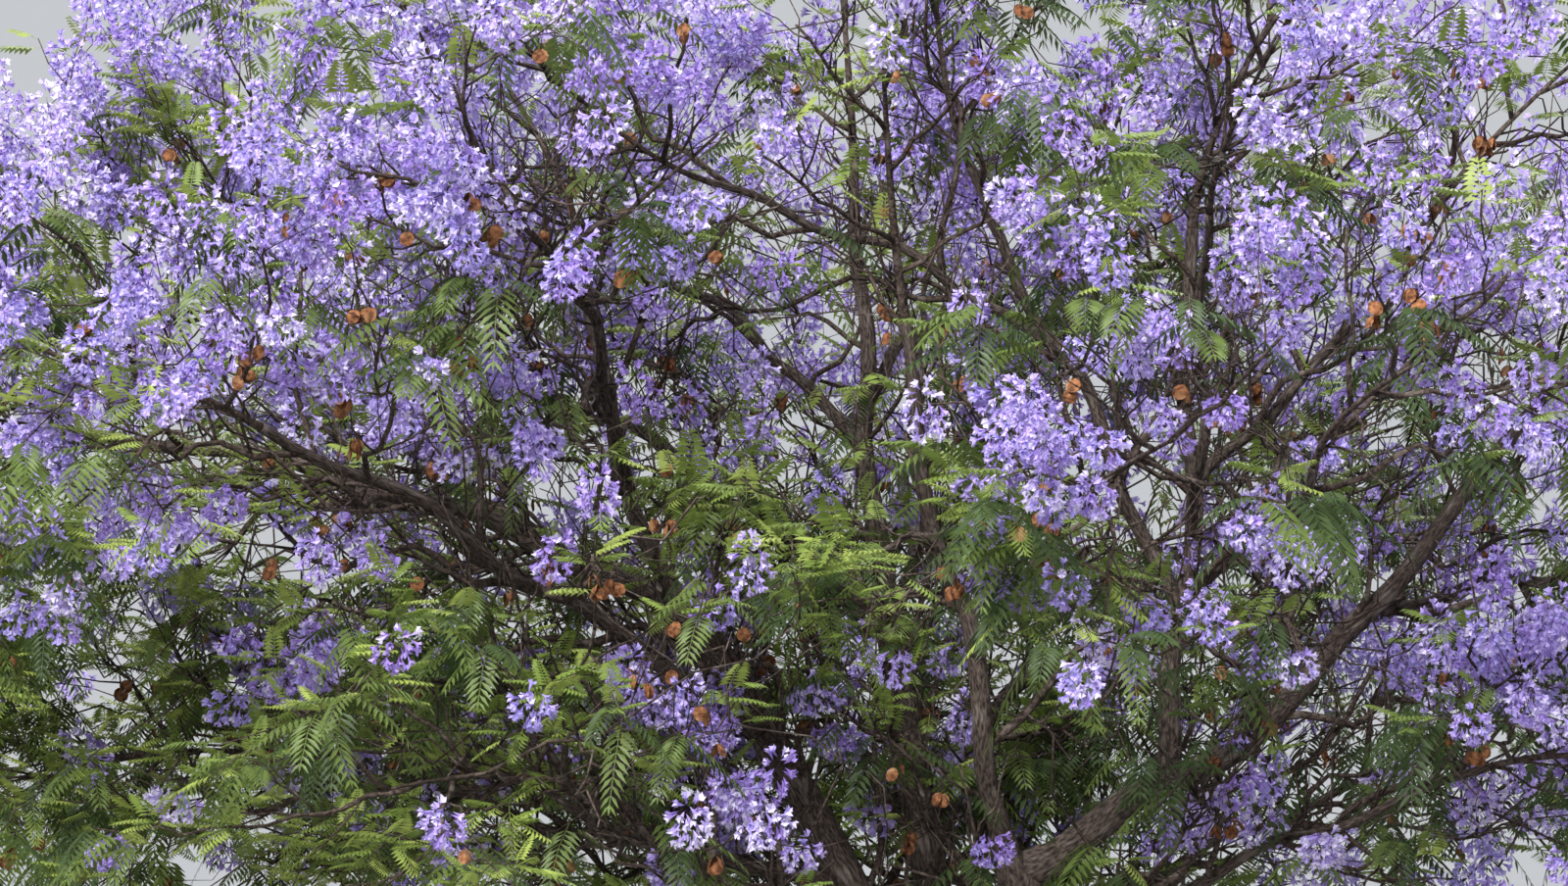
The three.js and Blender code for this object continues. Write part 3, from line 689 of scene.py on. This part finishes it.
# The masses at the boughs' tips. Each has the twigs of its solid, with shoots where that has sprays and
# trusses, and fillers between them, closer where the crown is full. Where it would be thin, leaders carry it
# on to its outline: long shoots, each with its own end.
TWIGS, TWIG_LENGTH, TWIG_SHORTER, TWIG_LIFT = 7, 0.95, 0.35, 0.1
TWIG_PLACES, TWIG_SPREADS, TURN_CHANCE, SPREAD_CHANCE = (0.12, 0.97), (72, 24), 40, 8
LENGTH_SHARES, LEAN_SHARES, SPRAY_CHANCE = (0.85, 1.15), (0.8, 1.2), 60
SPRAYS = ((0.5, 52), (0.75, 52), (0.97, 10))
LEAVES = {"length": 0.86, "width": 0.46, "thickness": 0.06, "lift": -0.1}
TRUSS = {"length": 0.64, "width": 0.4, "thickness": 0.3, "lift": 0.1}
SPRAY_BELLY = 0.46
TWIG_ROOM, TWIG_SWAY, SPRAY_SWAY, RUNNER_MARGIN = 0.012, 0.025, 0.03, 1.04
FULLEST = ("left_low", "left_sweep", "back_high", "middle_upright")
OPEN_PLACES, FULL_PLACES = (0.3, 0.62, 0.86), (0.2, 0.36, 0.52, 0.7, 0.85, 0.97)
MORE_PLACES = (0.6, 0.78, 0.92)
DROOPS_BELOW = 3.2
MASS_FULLNESS = 0.55
LEADERS = {
    "left_side": [
        (-4.05, 0.2, 5.9), (-3.7, 0.6, 6.15), (-4.35, 0.4, 5.45), (-3.4, 0.1, 6.3), (-4.2, 0.9, 5.8),
    ],
    "left_low": [(-4.25, 0.2, 3.0), (-4.2, -0.2, 2.6), (-3.8, -0.5, 2.35)],
    "left_sweep": [(-4.35, -0.3, 3.6), (-4.2, -0.9, 3.4)],
    "right_low": [(2.75, -0.6, 2.4), (3.0, -1.3, 2.35), (3.3, -0.6, 2.7)],
    "front": [(-0.5, -2.9, 3.4), (-0.2, -3.3, 3.7)],
    "left_front_low": [(-1.2, -2.7, 2.9), (-0.8, -3.1, 3.3)],
}
LEADER_ROOTS, LEADER_ELBOW, LEADER_SAG, LEADER_SWAY = (0.3, 0.9), 0.55, 0.1, 0.03
LEADER_PLACES = (0.4, 0.55, 0.7, 0.82, 0.94, 1.0)


def spray_fits(axis, size, roll, number):
    """Whether the solid's spray had room: its ends and its belly's widest spots in its mass's space."""
    root, tip = axis.point(0), axis.point(1)
    if touches_limb(root, tip, size["width"] / 2):
        return False
    reach = tip - root
    side, over = across_of(unit(reach))
    wide = side * math.cos(roll) + over * math.sin(roll)
    thick = unit(np.cross(wide, reach))
    belly = root + SPRAY_BELLY * reach
    corners = [root, tip, belly + wide * size["width"] / 2, belly - wide * size["width"] / 2,
               belly + thick * size["thickness"] / 2, belly - thick * size["thickness"] / 2]
    return all(in_space(corner, number) for corner in corners)


def sprays_of(twig, number):
    """The sprays and trusses of the solid's twig: place, turn, lean, length and which of the two."""
    mass, found = masses[number], []
    draw = mass["draw"]
    for k, (place, lean) in enumerate(SPRAYS):
        around = 180 * k + SPRAY_CHANCE * (draw() - 0.5)
        size = TRUSS if draw() < mass["bloom"] else LEAVES
        length = size["length"] * mix(*LENGTH_SHARES, draw())
        lean = lean * mix(*LEAN_SHARES, draw())
        roll = 0.5 * math.pi * (draw() - 0.5)
        if spray_fits(shoot_from(twig, place, around, lean, length, size["lift"]), size, roll, number):
            found.append((place, around, lean, length, size))
    return found


for number, mass in enumerate(masses):
    draw, stem, tip = mass["draw"], mass["stem"], mass["tip"]
    rises = is_within(tip, "rising_left")
    places = FULL_PLACES if is_within(tip, "full_left") or is_within(tip, "full_back") else OPEN_PLACES
    if rises or mass["name"] in FULLEST:
        places += MORE_PLACES
    lift = 0.1 if tip[2] > DROOPS_BELOW else -0.2
    lengths, lift, skin = ((0.5, 0.95), 0.55, 1.1) if rises else ((0.35, 0.6), lift, 1.0)
    add_tube(stem, mass["radius"], 0.4 * mass["radius"], sides=8, rings=12)
    for i in range(TWIGS):
        along = mix(*TWIG_PLACES, i / (TWIGS - 1))
        around = i * GOLDEN_TURN + TURN_CHANCE * draw()
        spread = mix(*TWIG_SPREADS, along) + SPREAD_CHANCE * draw()
        length = TWIG_LENGTH * (1 - TWIG_SHORTER * along) * mix(*LENGTH_SHARES, draw())
        twig = shoot_from(stem, along, around, spread, length, TWIG_LIFT)
        sprays = sprays_of(twig, number)
        in_own_space = in_space(twig.point(0.0), number) and in_space(twig.point(1.0), number)
        if not sprays or not in_own_space or touches(twig, TWIG_ROOM):
            continue
        twig.wander, twig.phase = TWIG_SWAY * length, rng.random()
        add_twig(twig, "twig")
        for place, around, lean, length, size in sprays:
            sway = SPRAY_SWAY * length
            shoot = shoot_from(twig, place, around, lean, length, size["lift"], sway, rng.random())
            add_twig(shoot, "spray")
            dress(shoot, size is TRUSS)
        runner = stray_shoot(stem, (0.0, 0.6), spread=(20, 65), length=(0.7, 1.3), lift=-0.1, sway=0.06)
        if in_crown(runner.point(1.0), RUNNER_MARGIN) and not touches(runner):
            add_twig(runner, "runner")
        for place in places:
            shoot = stray_shoot(twig, place, spread=(35, 65), length=lengths, lift=lift, sway=0.05)
            if crown_share(shoot.point(1.0)) < skin:
                add_twig(shoot, "filler")
                dress(shoot, rng.random() < mass["bloom"], MASS_FULLNESS)
    for target in LEADERS.get(mass["name"], ()):
        root = stem.point(rng.uniform(*LEADER_ROOTS))
        run = np.array(target) - root
        length = float(np.linalg.norm(run))
        elbow = root + LEADER_ELBOW * run - LEADER_SAG * length * UP
        leader = WoodAxis(root, elbow, root + run, LEADER_SWAY * length, rng.random())
        if touches(leader):
            continue
        add_twig(leader, "leader")
        for place in LEADER_PLACES:
            shoot = stray_shoot(leader, place, spread=(30, 55), length=(0.25, 0.45), lift=0.1, sway=0.04)
            add_twig(shoot, "leader_shoot")
            dress(shoot, rng.random() < mass["bloom"], MASS_FULLNESS)


# Branchlets leave the limbs at a narrow angle and run on beside them, long and sinuous, stouter low in the
# crown, with bare twigs and with twigs that end in leaves low down and in blossom higher up. One that would
# touch a limb or leave the crown is tried again shorter.
BRANCHLETS = {
    # how far along the limb the first one leaves, and the gap from one to the next
    "stem": (0.22, 0.12),
    "low": (0.15, 0.19),
    "high": (0.15, 0.31),
}
LOW_BOUGH, LEFT_BOUGH, LEFT_GAPS = 3.6, -1.7, 0.7
RUN_SPREADS, RUN_LENGTHS, RUN_LIFTS = (22, 60), (0.8, 1.9), (-0.12, 0.2)
RUN_MARGIN, SIDE_MARGIN = 1.08, 1.06
RUN_LAST, LIMB_END = 0.96, 0.98
SHORTER_SHARES = (1.0, 0.75, 0.55, 0.4)
STOUT_BELOW, STOUT_SHARE = 4.2, 1.35
FOOT_RADIUS, FOOT_BY_LENGTH, TIP_RADIUS = 0.007, 0.006, 0.0036
SIDE_COUNT, SIDES_A_METRE = 2, 2.6
HEART_SHARE, HEART_ABOVE, TANGLED_BELOW = 0.12, 4.3, 4.4
RUN_BLOOM, SIDE_FULLNESS, END_FULLNESS = 0.9, 0.42, 0.6
for limb in list(limbs.values())[1:]:
    axis = limb["axis"]
    place = "stem" if limb["bloom"] is None else "low" if axis.tip[2] < LOW_BOUGH else "high"
    first, gap = BRANCHLETS[place]
    if axis.tip[0] < LEFT_BOUGH:
        gap *= LEFT_GAPS
    count = int(limb["reach"] * (LIMB_END - first) / gap)
    for i in range(count):
        along = mix(first, RUN_LAST, (i + rng.random()) / count)
        around, spread = GOLDEN_TURN * i + rng.uniform(-30, 30), rng.uniform(*RUN_SPREADS)
        length, lift, phase = rng.uniform(*RUN_LENGTHS), rng.uniform(*RUN_LIFTS), rng.random()
        for share in SHORTER_SHARES:
            sway = 0.05 * share * length
            branchlet = shoot_from(axis, along, around, spread, share * length, lift, sway, phase)
            tip = branchlet.point(1.0)
            if in_crown(tip, RUN_MARGIN) and not touches(branchlet):
                break
        else:
            continue
        length *= share
        stout = STOUT_SHARE if tip[2] < STOUT_BELOW else 1.0
        foot_radius = stout * (FOOT_RADIUS + FOOT_BY_LENGTH * length)
        add_tube(branchlet, foot_radius, stout * TIP_RADIUS, sides=5, rings=max(6, round(9 * length)))
        sides = SIDE_COUNT + round(SIDES_A_METRE * length)
        for k in range(sides):
            own = rng.uniform(0.3, 0.55)
            place, around = mix(0.3, 0.92, (k + rng.random()) / sides), 180 * k + rng.uniform(-50, 50)
            spread, lift, phase = rng.uniform(28, 55), rng.uniform(-0.05, 0.2), rng.random()
            side = shoot_from(branchlet, place, around, spread, own, lift, 0.05 * own, phase)
            end = side.point(1.0)
            if not in_crown(end, SIDE_MARGIN):
                continue
            add_twig(side, "side", stout)
            if crown_share(end) < HEART_SHARE and end[2] > HEART_ABOVE:
                continue
            dress(side, rng.random() < RUN_BLOOM, SIDE_FULLNESS)
            for _ in range(rng.integers(0, 3)):
                bare = stray_shoot(branchlet, (0.2, 0.95), (25, 70), length=(0.2, 0.55), lift=0.1, sway=0.08)
                add_twig(bare, "bare")
        dress(branchlet, rng.random() < RUN_BLOOM, END_FULLNESS)
        for parent in [axis] + [branchlet] * (3 if tip[2] < TANGLED_BELOW else 2):
            bare = stray_shoot(parent, (0.2, 0.9), (25, 65), length=(0.6, 1.5), lift=(-0.2, 0.2), sway=0.08)
            if in_crown(bare.point(1.0), SIDE_MARGIN) and not touches(bare):
                add_twig(bare, "long_bare", stout)


# The blossom: panicles of trumpet flowers, deep in the tube and paler in their five lobes, that hang round a
# thin stalk from stalks too fine to draw. Most flowers of a panicle have its tint, one of four near lilacs,
# and the flowers of each tint are one piece.
FLOWER_SIZE = 1.1
TUBE_RADIUS, TUBE_LENGTH, THROAT = 0.008, 0.031, 0.024
PETALS, LIP_RADIUS, LIP_HEIGHTS, LIP_ANGLES = 5, 0.0178, (0.039, 0.048), (0.1, 1.15)
TINTS = [
    # name, tube, lobes, share of the panicles
    ("lilac", (0.38, 0.27, 0.68), (0.56, 0.455, 0.88), 0.3),
    ("violet", (0.29, 0.18, 0.56), (0.40, 0.285, 0.72), 0.22),
    ("pale", (0.48, 0.39, 0.78), (0.74, 0.67, 0.93), 0.24),
    ("blue", (0.33, 0.25, 0.66), (0.48, 0.41, 0.86), 0.24),
]
OWN_SHARE = 0.6
FLOWERS_A_METRE, SIZE_SHARES = 150, (0.85, 1.12)
STALK_LEAST, STALK_MORE, STALK_PEAK, STALK_ROUND = 0.03, 0.045, 1.05, 0.8
STALK_OUT, STALK_IN = 0.8, 0.55
PANICLE_SAG, STALK_END = 0.1, 0.9
FLOWER_OUT, FLOWER_ON, FLOWER_DOWN, FLOWER_CHANCE = 0.65, (0.1, 1.3), (0.95, 0.7), 0.25

petals = np.arange(PETALS)
lip = 2 * math.pi / PETALS * np.repeat(petals, 2) + np.tile(LIP_ANGLES, PETALS)
neck = 2 * math.pi / 3 * np.arange(3)
flower_spots = FLOWER_SIZE * np.concatenate([
    np.zeros((1, 3)),
    np.stack([TUBE_RADIUS * np.cos(neck), TUBE_RADIUS * np.sin(neck), np.full(3, TUBE_LENGTH)], axis=1),
    np.array([[0.0, 0.0, THROAT]]),
    np.stack([LIP_RADIUS * np.cos(lip), LIP_RADIUS * np.sin(lip), np.tile(LIP_HEIGHTS, PETALS)], axis=1),
])
flower_tube = np.array([(0, 2, 1), (0, 3, 2), (0, 1, 3)])
flower_lobes = np.stack([np.full(PETALS, 4), 5 + 2 * petals, 6 + 2 * petals], axis=1)


def soft_material(name, colour, shade, through, roughness):
    """Petals and leaflets: soft, matt, lit a little from behind, in patches of a colour and a deeper one."""
    material = bpy.data.materials.new(name)
    material.use_nodes = True
    nodes = material.node_tree.nodes
    shader, out = nodes["Principled BSDF"], nodes["Material Output"]
    shader.inputs["Roughness"].default_value = roughness
    shader.inputs["Specular IOR Level"].default_value = 0.3
    place, patches = nodes.new("ShaderNodeTexCoord"), new_node(nodes, "TexNoise", Scale=14, Detail=3)
    edges, shades = new_node(nodes, "MapRange", From_Min=0.35, From_Max=0.65), nodes.new("ShaderNodeMix")
    shades.data_type = "RGBA"
    shades.inputs["A"].default_value = (*(shade * part for part in colour), 1)
    shades.inputs["B"].default_value = (*colour, 1)
    behind = new_node(nodes, "BsdfTranslucent", Color=(*colour, 1))
    both = new_node(nodes, "MixShader", Fac=through)
    wire(
        material.node_tree, (place, "Object", patches, "Vector"), (patches, "Fac", edges, "Value"),
        (edges, "Result", shades, "Factor"), (shades, "Result", shader, "Base Color"),
        (shader, "BSDF", both, 1), (behind, "BSDF", both, 2), (both, "Shader", out, "Surface"),
    )
    return material


def flowers_of(base, heading, length):
    """Where a panicle's flowers start, and where each points: out and down, and on at the panicle's end."""
    count = int(length * FLOWERS_A_METRE)
    t = (np.arange(count) + rng.random(count)) / count
    side, over = across_of(heading)
    turn = np.radians(GOLDEN_TURN) * np.arange(count) + rng.uniform(-0.3, 0.3, count)
    out = np.cos(turn)[:, None] * side + np.sin(turn)[:, None] * over
    swell = np.sin(math.pi * np.clip(STALK_PEAK - t, 0, 1)) ** STALK_ROUND
    stalk = (STALK_LEAST + STALK_MORE * swell)[:, None]
    middle = base + heading * (length * t)[:, None] - UP * (PANICLE_SAG * length * t**2)[:, None]
    starts = middle + out * stalk * (STALK_OUT - STALK_IN * t[:, None] ** 3)
    last = (t**5)[:, None]
    on, down = FLOWER_ON[0] + FLOWER_ON[1] * last, FLOWER_DOWN[0] - FLOWER_DOWN[1] * last
    points = FLOWER_OUT * out + on * heading - down * UP + rng.normal(0, FLOWER_CHANCE, (count, 3))
    return starts, unit(points)


def flower_shapes(starts, points, size):
    side = unit(np.cross(points, UP + rng.normal(0, 0.1, points.shape)))
    over = np.cross(points, side)
    roll = rng.uniform(0, 2 * math.pi, (len(points), 1))
    wide = side * np.cos(roll) + over * np.sin(roll)
    axes = np.stack([wide, np.cross(points, wide), points], axis=1) * size[:, None, None]
    return starts[:, None] + flower_spots @ axes


tint_shares = [tint[3] for tint in TINTS]
all_starts, all_points, tint_of = [], [], []
for base, heading, length in panicles:
    starts, points = flowers_of(base, heading, length)
    own = rng.choice(len(TINTS), p=tint_shares)
    is_own = rng.random(len(starts)) < OWN_SHARE
    all_starts.append(starts)
    all_points.append(points)
    tint_of.append(np.where(is_own, own, rng.choice(len(TINTS), len(starts), p=tint_shares)))
    tip = base + heading * length * STALK_END - UP * PANICLE_SAG * length
    add_twig(WoodAxis(base, (base + tip) / 2, tip), "panicle_stalk")
all_starts, all_points = np.concatenate(all_starts), np.concatenate(all_points)
tint_of = np.concatenate(tint_of)
for tint, (name, tube_colour, lobe_colour, _) in enumerate(TINTS):
    starts, points = all_starts[tint_of == tint], all_points[tint_of == tint]
    spots = flower_shapes(starts, points, rng.uniform(*SIZE_SHARES, len(starts)))
    first_spots = len(flower_spots) * np.arange(len(starts))[:, None, None]
    tubes, lobes = (flower_tube + first_spots).reshape(-1, 3), (flower_lobes + first_spots).reshape(-1, 3)
    colours = [soft_material(f"{name}_tube", tube_colour, shade=0.8, through=0.35, roughness=0.55),
               soft_material(f"{name}_lobe", lobe_colour, shade=0.75, through=0.35, roughness=0.55)]
    piece = joined_piece(f"blossom_{name}", [(spots.reshape(-1, 3), tubes, lobes)], colours, smooth=False)
    is_lobe = np.repeat([0, 1], [len(tubes), len(lobes)]).astype(np.int32)
    piece.data.polygons.foreach_set("material_index", is_lobe)
    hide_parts(*(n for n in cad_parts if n.startswith("blossom_")))


# The leaves: each a rib with pairs of side ribs set close with leaflets, drawn as one slim blade each. Young
# leaves are short, yellow-green and held out level in rosettes, and mature ones are long and dark and hang.
# The deep green is partly the mature leaves' own colour and partly painted shade, dealt mostly to the right.
GREENS = [
    # name, whether mature, side ribs to a side, colour, and from and to how much it droops
    ("tender", False, 9, (0.31, 0.385, 0.088), (0.05, 0.25)),
    ("young", False, 9, (0.182, 0.252, 0.05), (0.05, 0.25)),
    ("fresh", True, 10, (0.118, 0.168, 0.04), (0.3, 0.6)),
    ("deep", True, 10, (0.056, 0.09, 0.029), (0.3, 0.6)),
]
# painted shade as well as leaf colour: the deep green's share grows towards the right
DEEP_SHARE, DEEP_SHADE_RIGHT, DEEP_LIMITS = 0.45, 0.12, (0.3, 0.85)
TENDER_SHARE, TENDER_LEFT, TENDER_LIMITS = 0.28, 0.1, (0.08, 0.6)
GREEN_MIDDLE = 0.8
BLADE_PLACES, END_FOOT, BLADE_SPREADS, BLADE_DROOP = (0.2, 0.95), 0.93, (80, 45), 0.3
BLADE_LEAST, BLADE_MORE, BLADE_SWELL, TIP_DROOP = 0.14, 0.17, (0.22, 0.72), 0.14
BLADE_WIDTH, WIDTH_PAIRS, BLADE_CHANCE = 0.105, 11, 0.2
BLADE_BELLY, YOUNG_CORNER, YOUNG_WIDTH = 0.45, 0.6, 2.1
RIB_HALF_WIDTH, NUDGE = 0.0015, 1e-3


def leaf_shape(root, heading, length, droop, pairs, mature):
    """A leaf's blades, of three corners on a young leaf and four on a mature one, and its rib's spots."""

    def rib(t):
        return root + heading * (length * t)[:, None] - UP * (droop * length * t**2)[:, None]

    t = np.append(np.repeat(np.linspace(*BLADE_PLACES, pairs), 2), 1.0)
    feet = rib(t * np.append(np.ones(2 * pairs), END_FOOT))
    along = unit(heading - UP * (2 * droop * t)[:, None])
    side = unit(np.cross(along, UP + NUDGE))
    side[: 2 * pairs : 2] *= -1
    spread = np.radians(mix(*BLADE_SPREADS, t))[:, None]
    spread[-1] = 0
    blade = unit(side * np.sin(spread) + along * np.cos(spread) - UP * BLADE_DROOP * np.sin(spread))
    swell = np.sin(math.pi * np.clip(BLADE_SWELL[0] + BLADE_SWELL[1] * t, 0, 1))
    reach = length * (BLADE_LEAST + BLADE_MORE * swell)[:, None]
    flat = unit(np.cross(blade, np.cross(along, side) + rng.normal(0, BLADE_CHANCE, (len(t), 3))))
    tips = feet + blade * reach - UP * TIP_DROOP * reach
    wide = flat * reach * BLADE_WIDTH * (WIDTH_PAIRS / pairs)
    if mature:
        belly = feet + blade * reach * BLADE_BELLY
        blades = np.stack([feet, belly - wide, tips, belly + wide], axis=1)
    else:
        blades = np.stack([feet, tips, feet + blade * reach * YOUNG_CORNER + YOUNG_WIDTH * wide], axis=1)
    ribs = rib(np.array((0.0, 0.5, 1.0)))
    across = unit(np.cross(along[0], UP)) * RIB_HALF_WIDTH
    return blades, np.concatenate([ribs + across, ribs - across])


def green_at(root, mature):
    """The green of a leaf: tender mostly on the left, deep mostly on the right, in part as painted shade."""
    across = in_view(root)[0] + GREEN_MIDDLE
    if mature:
        # painted shade in part: the share of the deep green rises towards the right
        return 2 + (rng.random() < np.clip(DEEP_SHARE + DEEP_SHADE_RIGHT * across, *DEEP_LIMITS))
    return int(rng.random() > np.clip(TENDER_SHARE - TENDER_LEFT * across, *TENDER_LIMITS))


green_of = np.array([green_at(leaf[0], leaf[3]) for leaf in leaves])
rib_faces = np.array([(0, 1, 4, 3), (1, 2, 5, 4)])
for green, (name, mature, pairs, colour, droops) in enumerate(GREENS):
    blades, ribs = [], []
    for (root, heading, length, _), own in zip(leaves, green_of):
        if own == green:
            shape = leaf_shape(root, heading, length, rng.uniform(*droops), pairs, mature)
            blades.append(shape[0])
            ribs.append(shape[1])
    blades, ribs = np.concatenate(blades), np.array(ribs)
    first_spots = 6 * np.arange(len(ribs))[:, None, None]
    material = soft_material(f"{name}_leaf", colour, shade=0.7, through=0.4, roughness=0.5)
    piece = joined_piece(f"leaves_{name}", [
        (blades.reshape(-1, 3), np.arange(blades.size // 3).reshape(blades.shape[:2])),
        (ribs.reshape(-1, 3), (rib_faces + first_spots).reshape(-1, 4)),
    ], [material], smooth=False)
    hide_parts(*(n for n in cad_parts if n.startswith("foliage_")))


# The pods: flat round woody cases of last year, orange-brown, that still hang from short stalks, some of
# them split open along the rim into two shells.
POD_RADIUS, POD_SIDES = 0.031, 10
POD_DEPTH, HOLLOW_DEPTH, RIM_WAVE, RIM_WAVES = 0.36, 0.2, 0.06, 3
SWINGS, DROPS, POD_ROOM = 0.02, (0.03, 0.08), 0.02
SPLIT_SHARE, OPENINGS, TILTS = 0.35, (0.25, 0.5), (-0.3, 0.3)


def turned(spots, angle, start, end):
    """Spots turned by an angle from one axis towards another."""
    turn = np.eye(3)
    turn[start, start] = turn[end, end] = math.cos(angle)
    turn[start, end], turn[end, start] = math.sin(angle), -math.sin(angle)
    return spots @ turn


def half_pod(opening):
    """One shell of a pod, hinged at its stalk: a shallow dome and its hollow."""
    angles = 2 * math.pi * np.arange(POD_SIDES) / POD_SIDES
    rim = np.stack([np.cos(angles), RIM_WAVE * np.sin(RIM_WAVES * angles), np.sin(angles) - 1], axis=1)
    spots = np.concatenate([rim, [[0, POD_DEPTH, -1]], [[0, HOLLOW_DEPTH, -1]]]) * POD_RADIUS
    here, after = np.arange(POD_SIDES), (np.arange(POD_SIDES) + 1) % POD_SIDES
    dome = np.stack([np.full(POD_SIDES, POD_SIDES), after, here], axis=1)
    hollow = np.stack([np.full(POD_SIDES, POD_SIDES + 1), here, after], axis=1)
    return turned(spots, opening, 1, 2), np.concatenate([dome, hollow])


pod_shapes = []
for place, count in pods:
    for _ in range(count):
        stalk_end = place + np.array((*rng.normal(0, SWINGS, 2), -rng.uniform(*DROPS)))
        if touches_limb(place, stalk_end, POD_ROOM):
            continue
        add_twig(WoodAxis(place, (place + stalk_end) / 2, stalk_end), "pod_stalk")
        opening = rng.uniform(*OPENINGS) if rng.random() < SPLIT_SHARE else 0.0
        turn, tilt = rng.uniform(0, 2 * math.pi), rng.uniform(*TILTS)
        spots, faces = half_pod(opening)
        for flip, side_faces in ((1, faces), (-1, faces[:, ::-1])):
            side_spots = turned(turned(spots * (1, flip, 1), tilt, 1, 2), turn, 0, 1)
            pod_shapes.append((side_spots + stalk_end, side_faces))
pod_shell = bark_material(
    "pod_shell", stretch=(1.2, 1.2, 1.2), dark=(0.07, 0.026, 0.012), light=(0.27, 0.11, 0.044),
    crust=(0.40, 0.22, 0.11),
)
pod_piece = joined_piece("pods", pod_shapes, [pod_shell], smooth=False)


# The twigs are joined last, with the stalks of panicles and pods, in a left and a right piece of like size.
# Their bark is thin and dark, with paler crusts.
twig_bark = bark_material(
    "twig_bark", stretch=(1.5, 1.5, 1.5), dark=(0.019, 0.013, 0.01), light=(0.074, 0.051, 0.041),
    crust=(0.145, 0.115, 0.098),
)
middle = np.median([spots[0, 0] for spots, _, _ in twigs])
for name, is_left in (("twigs_left", True), ("twigs_right", False)):
    shapes = [twig for twig in twigs if (twig[0][0, 0] < middle) == is_left]
    twig_piece = joined_piece(name, shapes, [twig_bark])


# The studio: a pale floor, a broad soft light high in front on the left, weaker ones on the right and
# behind, and an even light from all round, which the camera sees as a brighter backdrop.
LIGHTS = [
    # name, place, size across, watts
    ("key_light", (-16, -37, 33), 17, 70000),
    ("fill_light", (24, -18, 14), 20, 4000),
    ("back_light", (6, 22, 30), 16, 13000),
]
LIT_SPOT = Vector((-0.3, 0, 4.2))
SKY = (0.86, 0.89, 0.93, 1)
bpy.ops.mesh.primitive_circle_add(vertices=96, radius=40.0, fill_type="NGON")
floor = bpy.context.object
floor.name = "studio_floor"
floor_paint = bpy.data.materials.new("floor_paint")
floor_paint.use_nodes = True
paint = floor_paint.node_tree.nodes["Principled BSDF"]
paint.inputs["Base Color"].default_value = (0.24, 0.24, 0.236, 1)
paint.inputs["Roughness"].default_value = 0.8
floor.data.materials.append(floor_paint)

for name, place, size, watts in LIGHTS:
    bpy.ops.object.light_add(type="AREA", location=place)
    lamp = bpy.context.object
    lamp.name = name
    lamp.data.size = size
    lamp.data.energy = watts
    lamp.rotation_euler = (LIT_SPOT - Vector(place)).to_track_quat("-Z", "Y").to_euler()

world = bpy.data.worlds.new("studio")
world.use_nodes = True
nodes = world.node_tree.nodes
lit, seen = nodes["Background"], new_node(nodes, "Background", Color=SKY, Strength=0.66)
lit.inputs["Color"].default_value = SKY
lit.inputs["Strength"].default_value = 0.24
seen_by, both = nodes.new("ShaderNodeLightPath"), nodes.new("ShaderNodeMixShader")
wire(
    world.node_tree, (seen_by, "Is Camera Ray", both, "Fac"), (lit, "Background", both, 1),
    (seen, "Background", both, 2), (both, "Shader", nodes["World Output"], "Surface"),
)
bpy.context.scene.world = world
bpy.context.scene.view_settings.view_transform = "Standard"
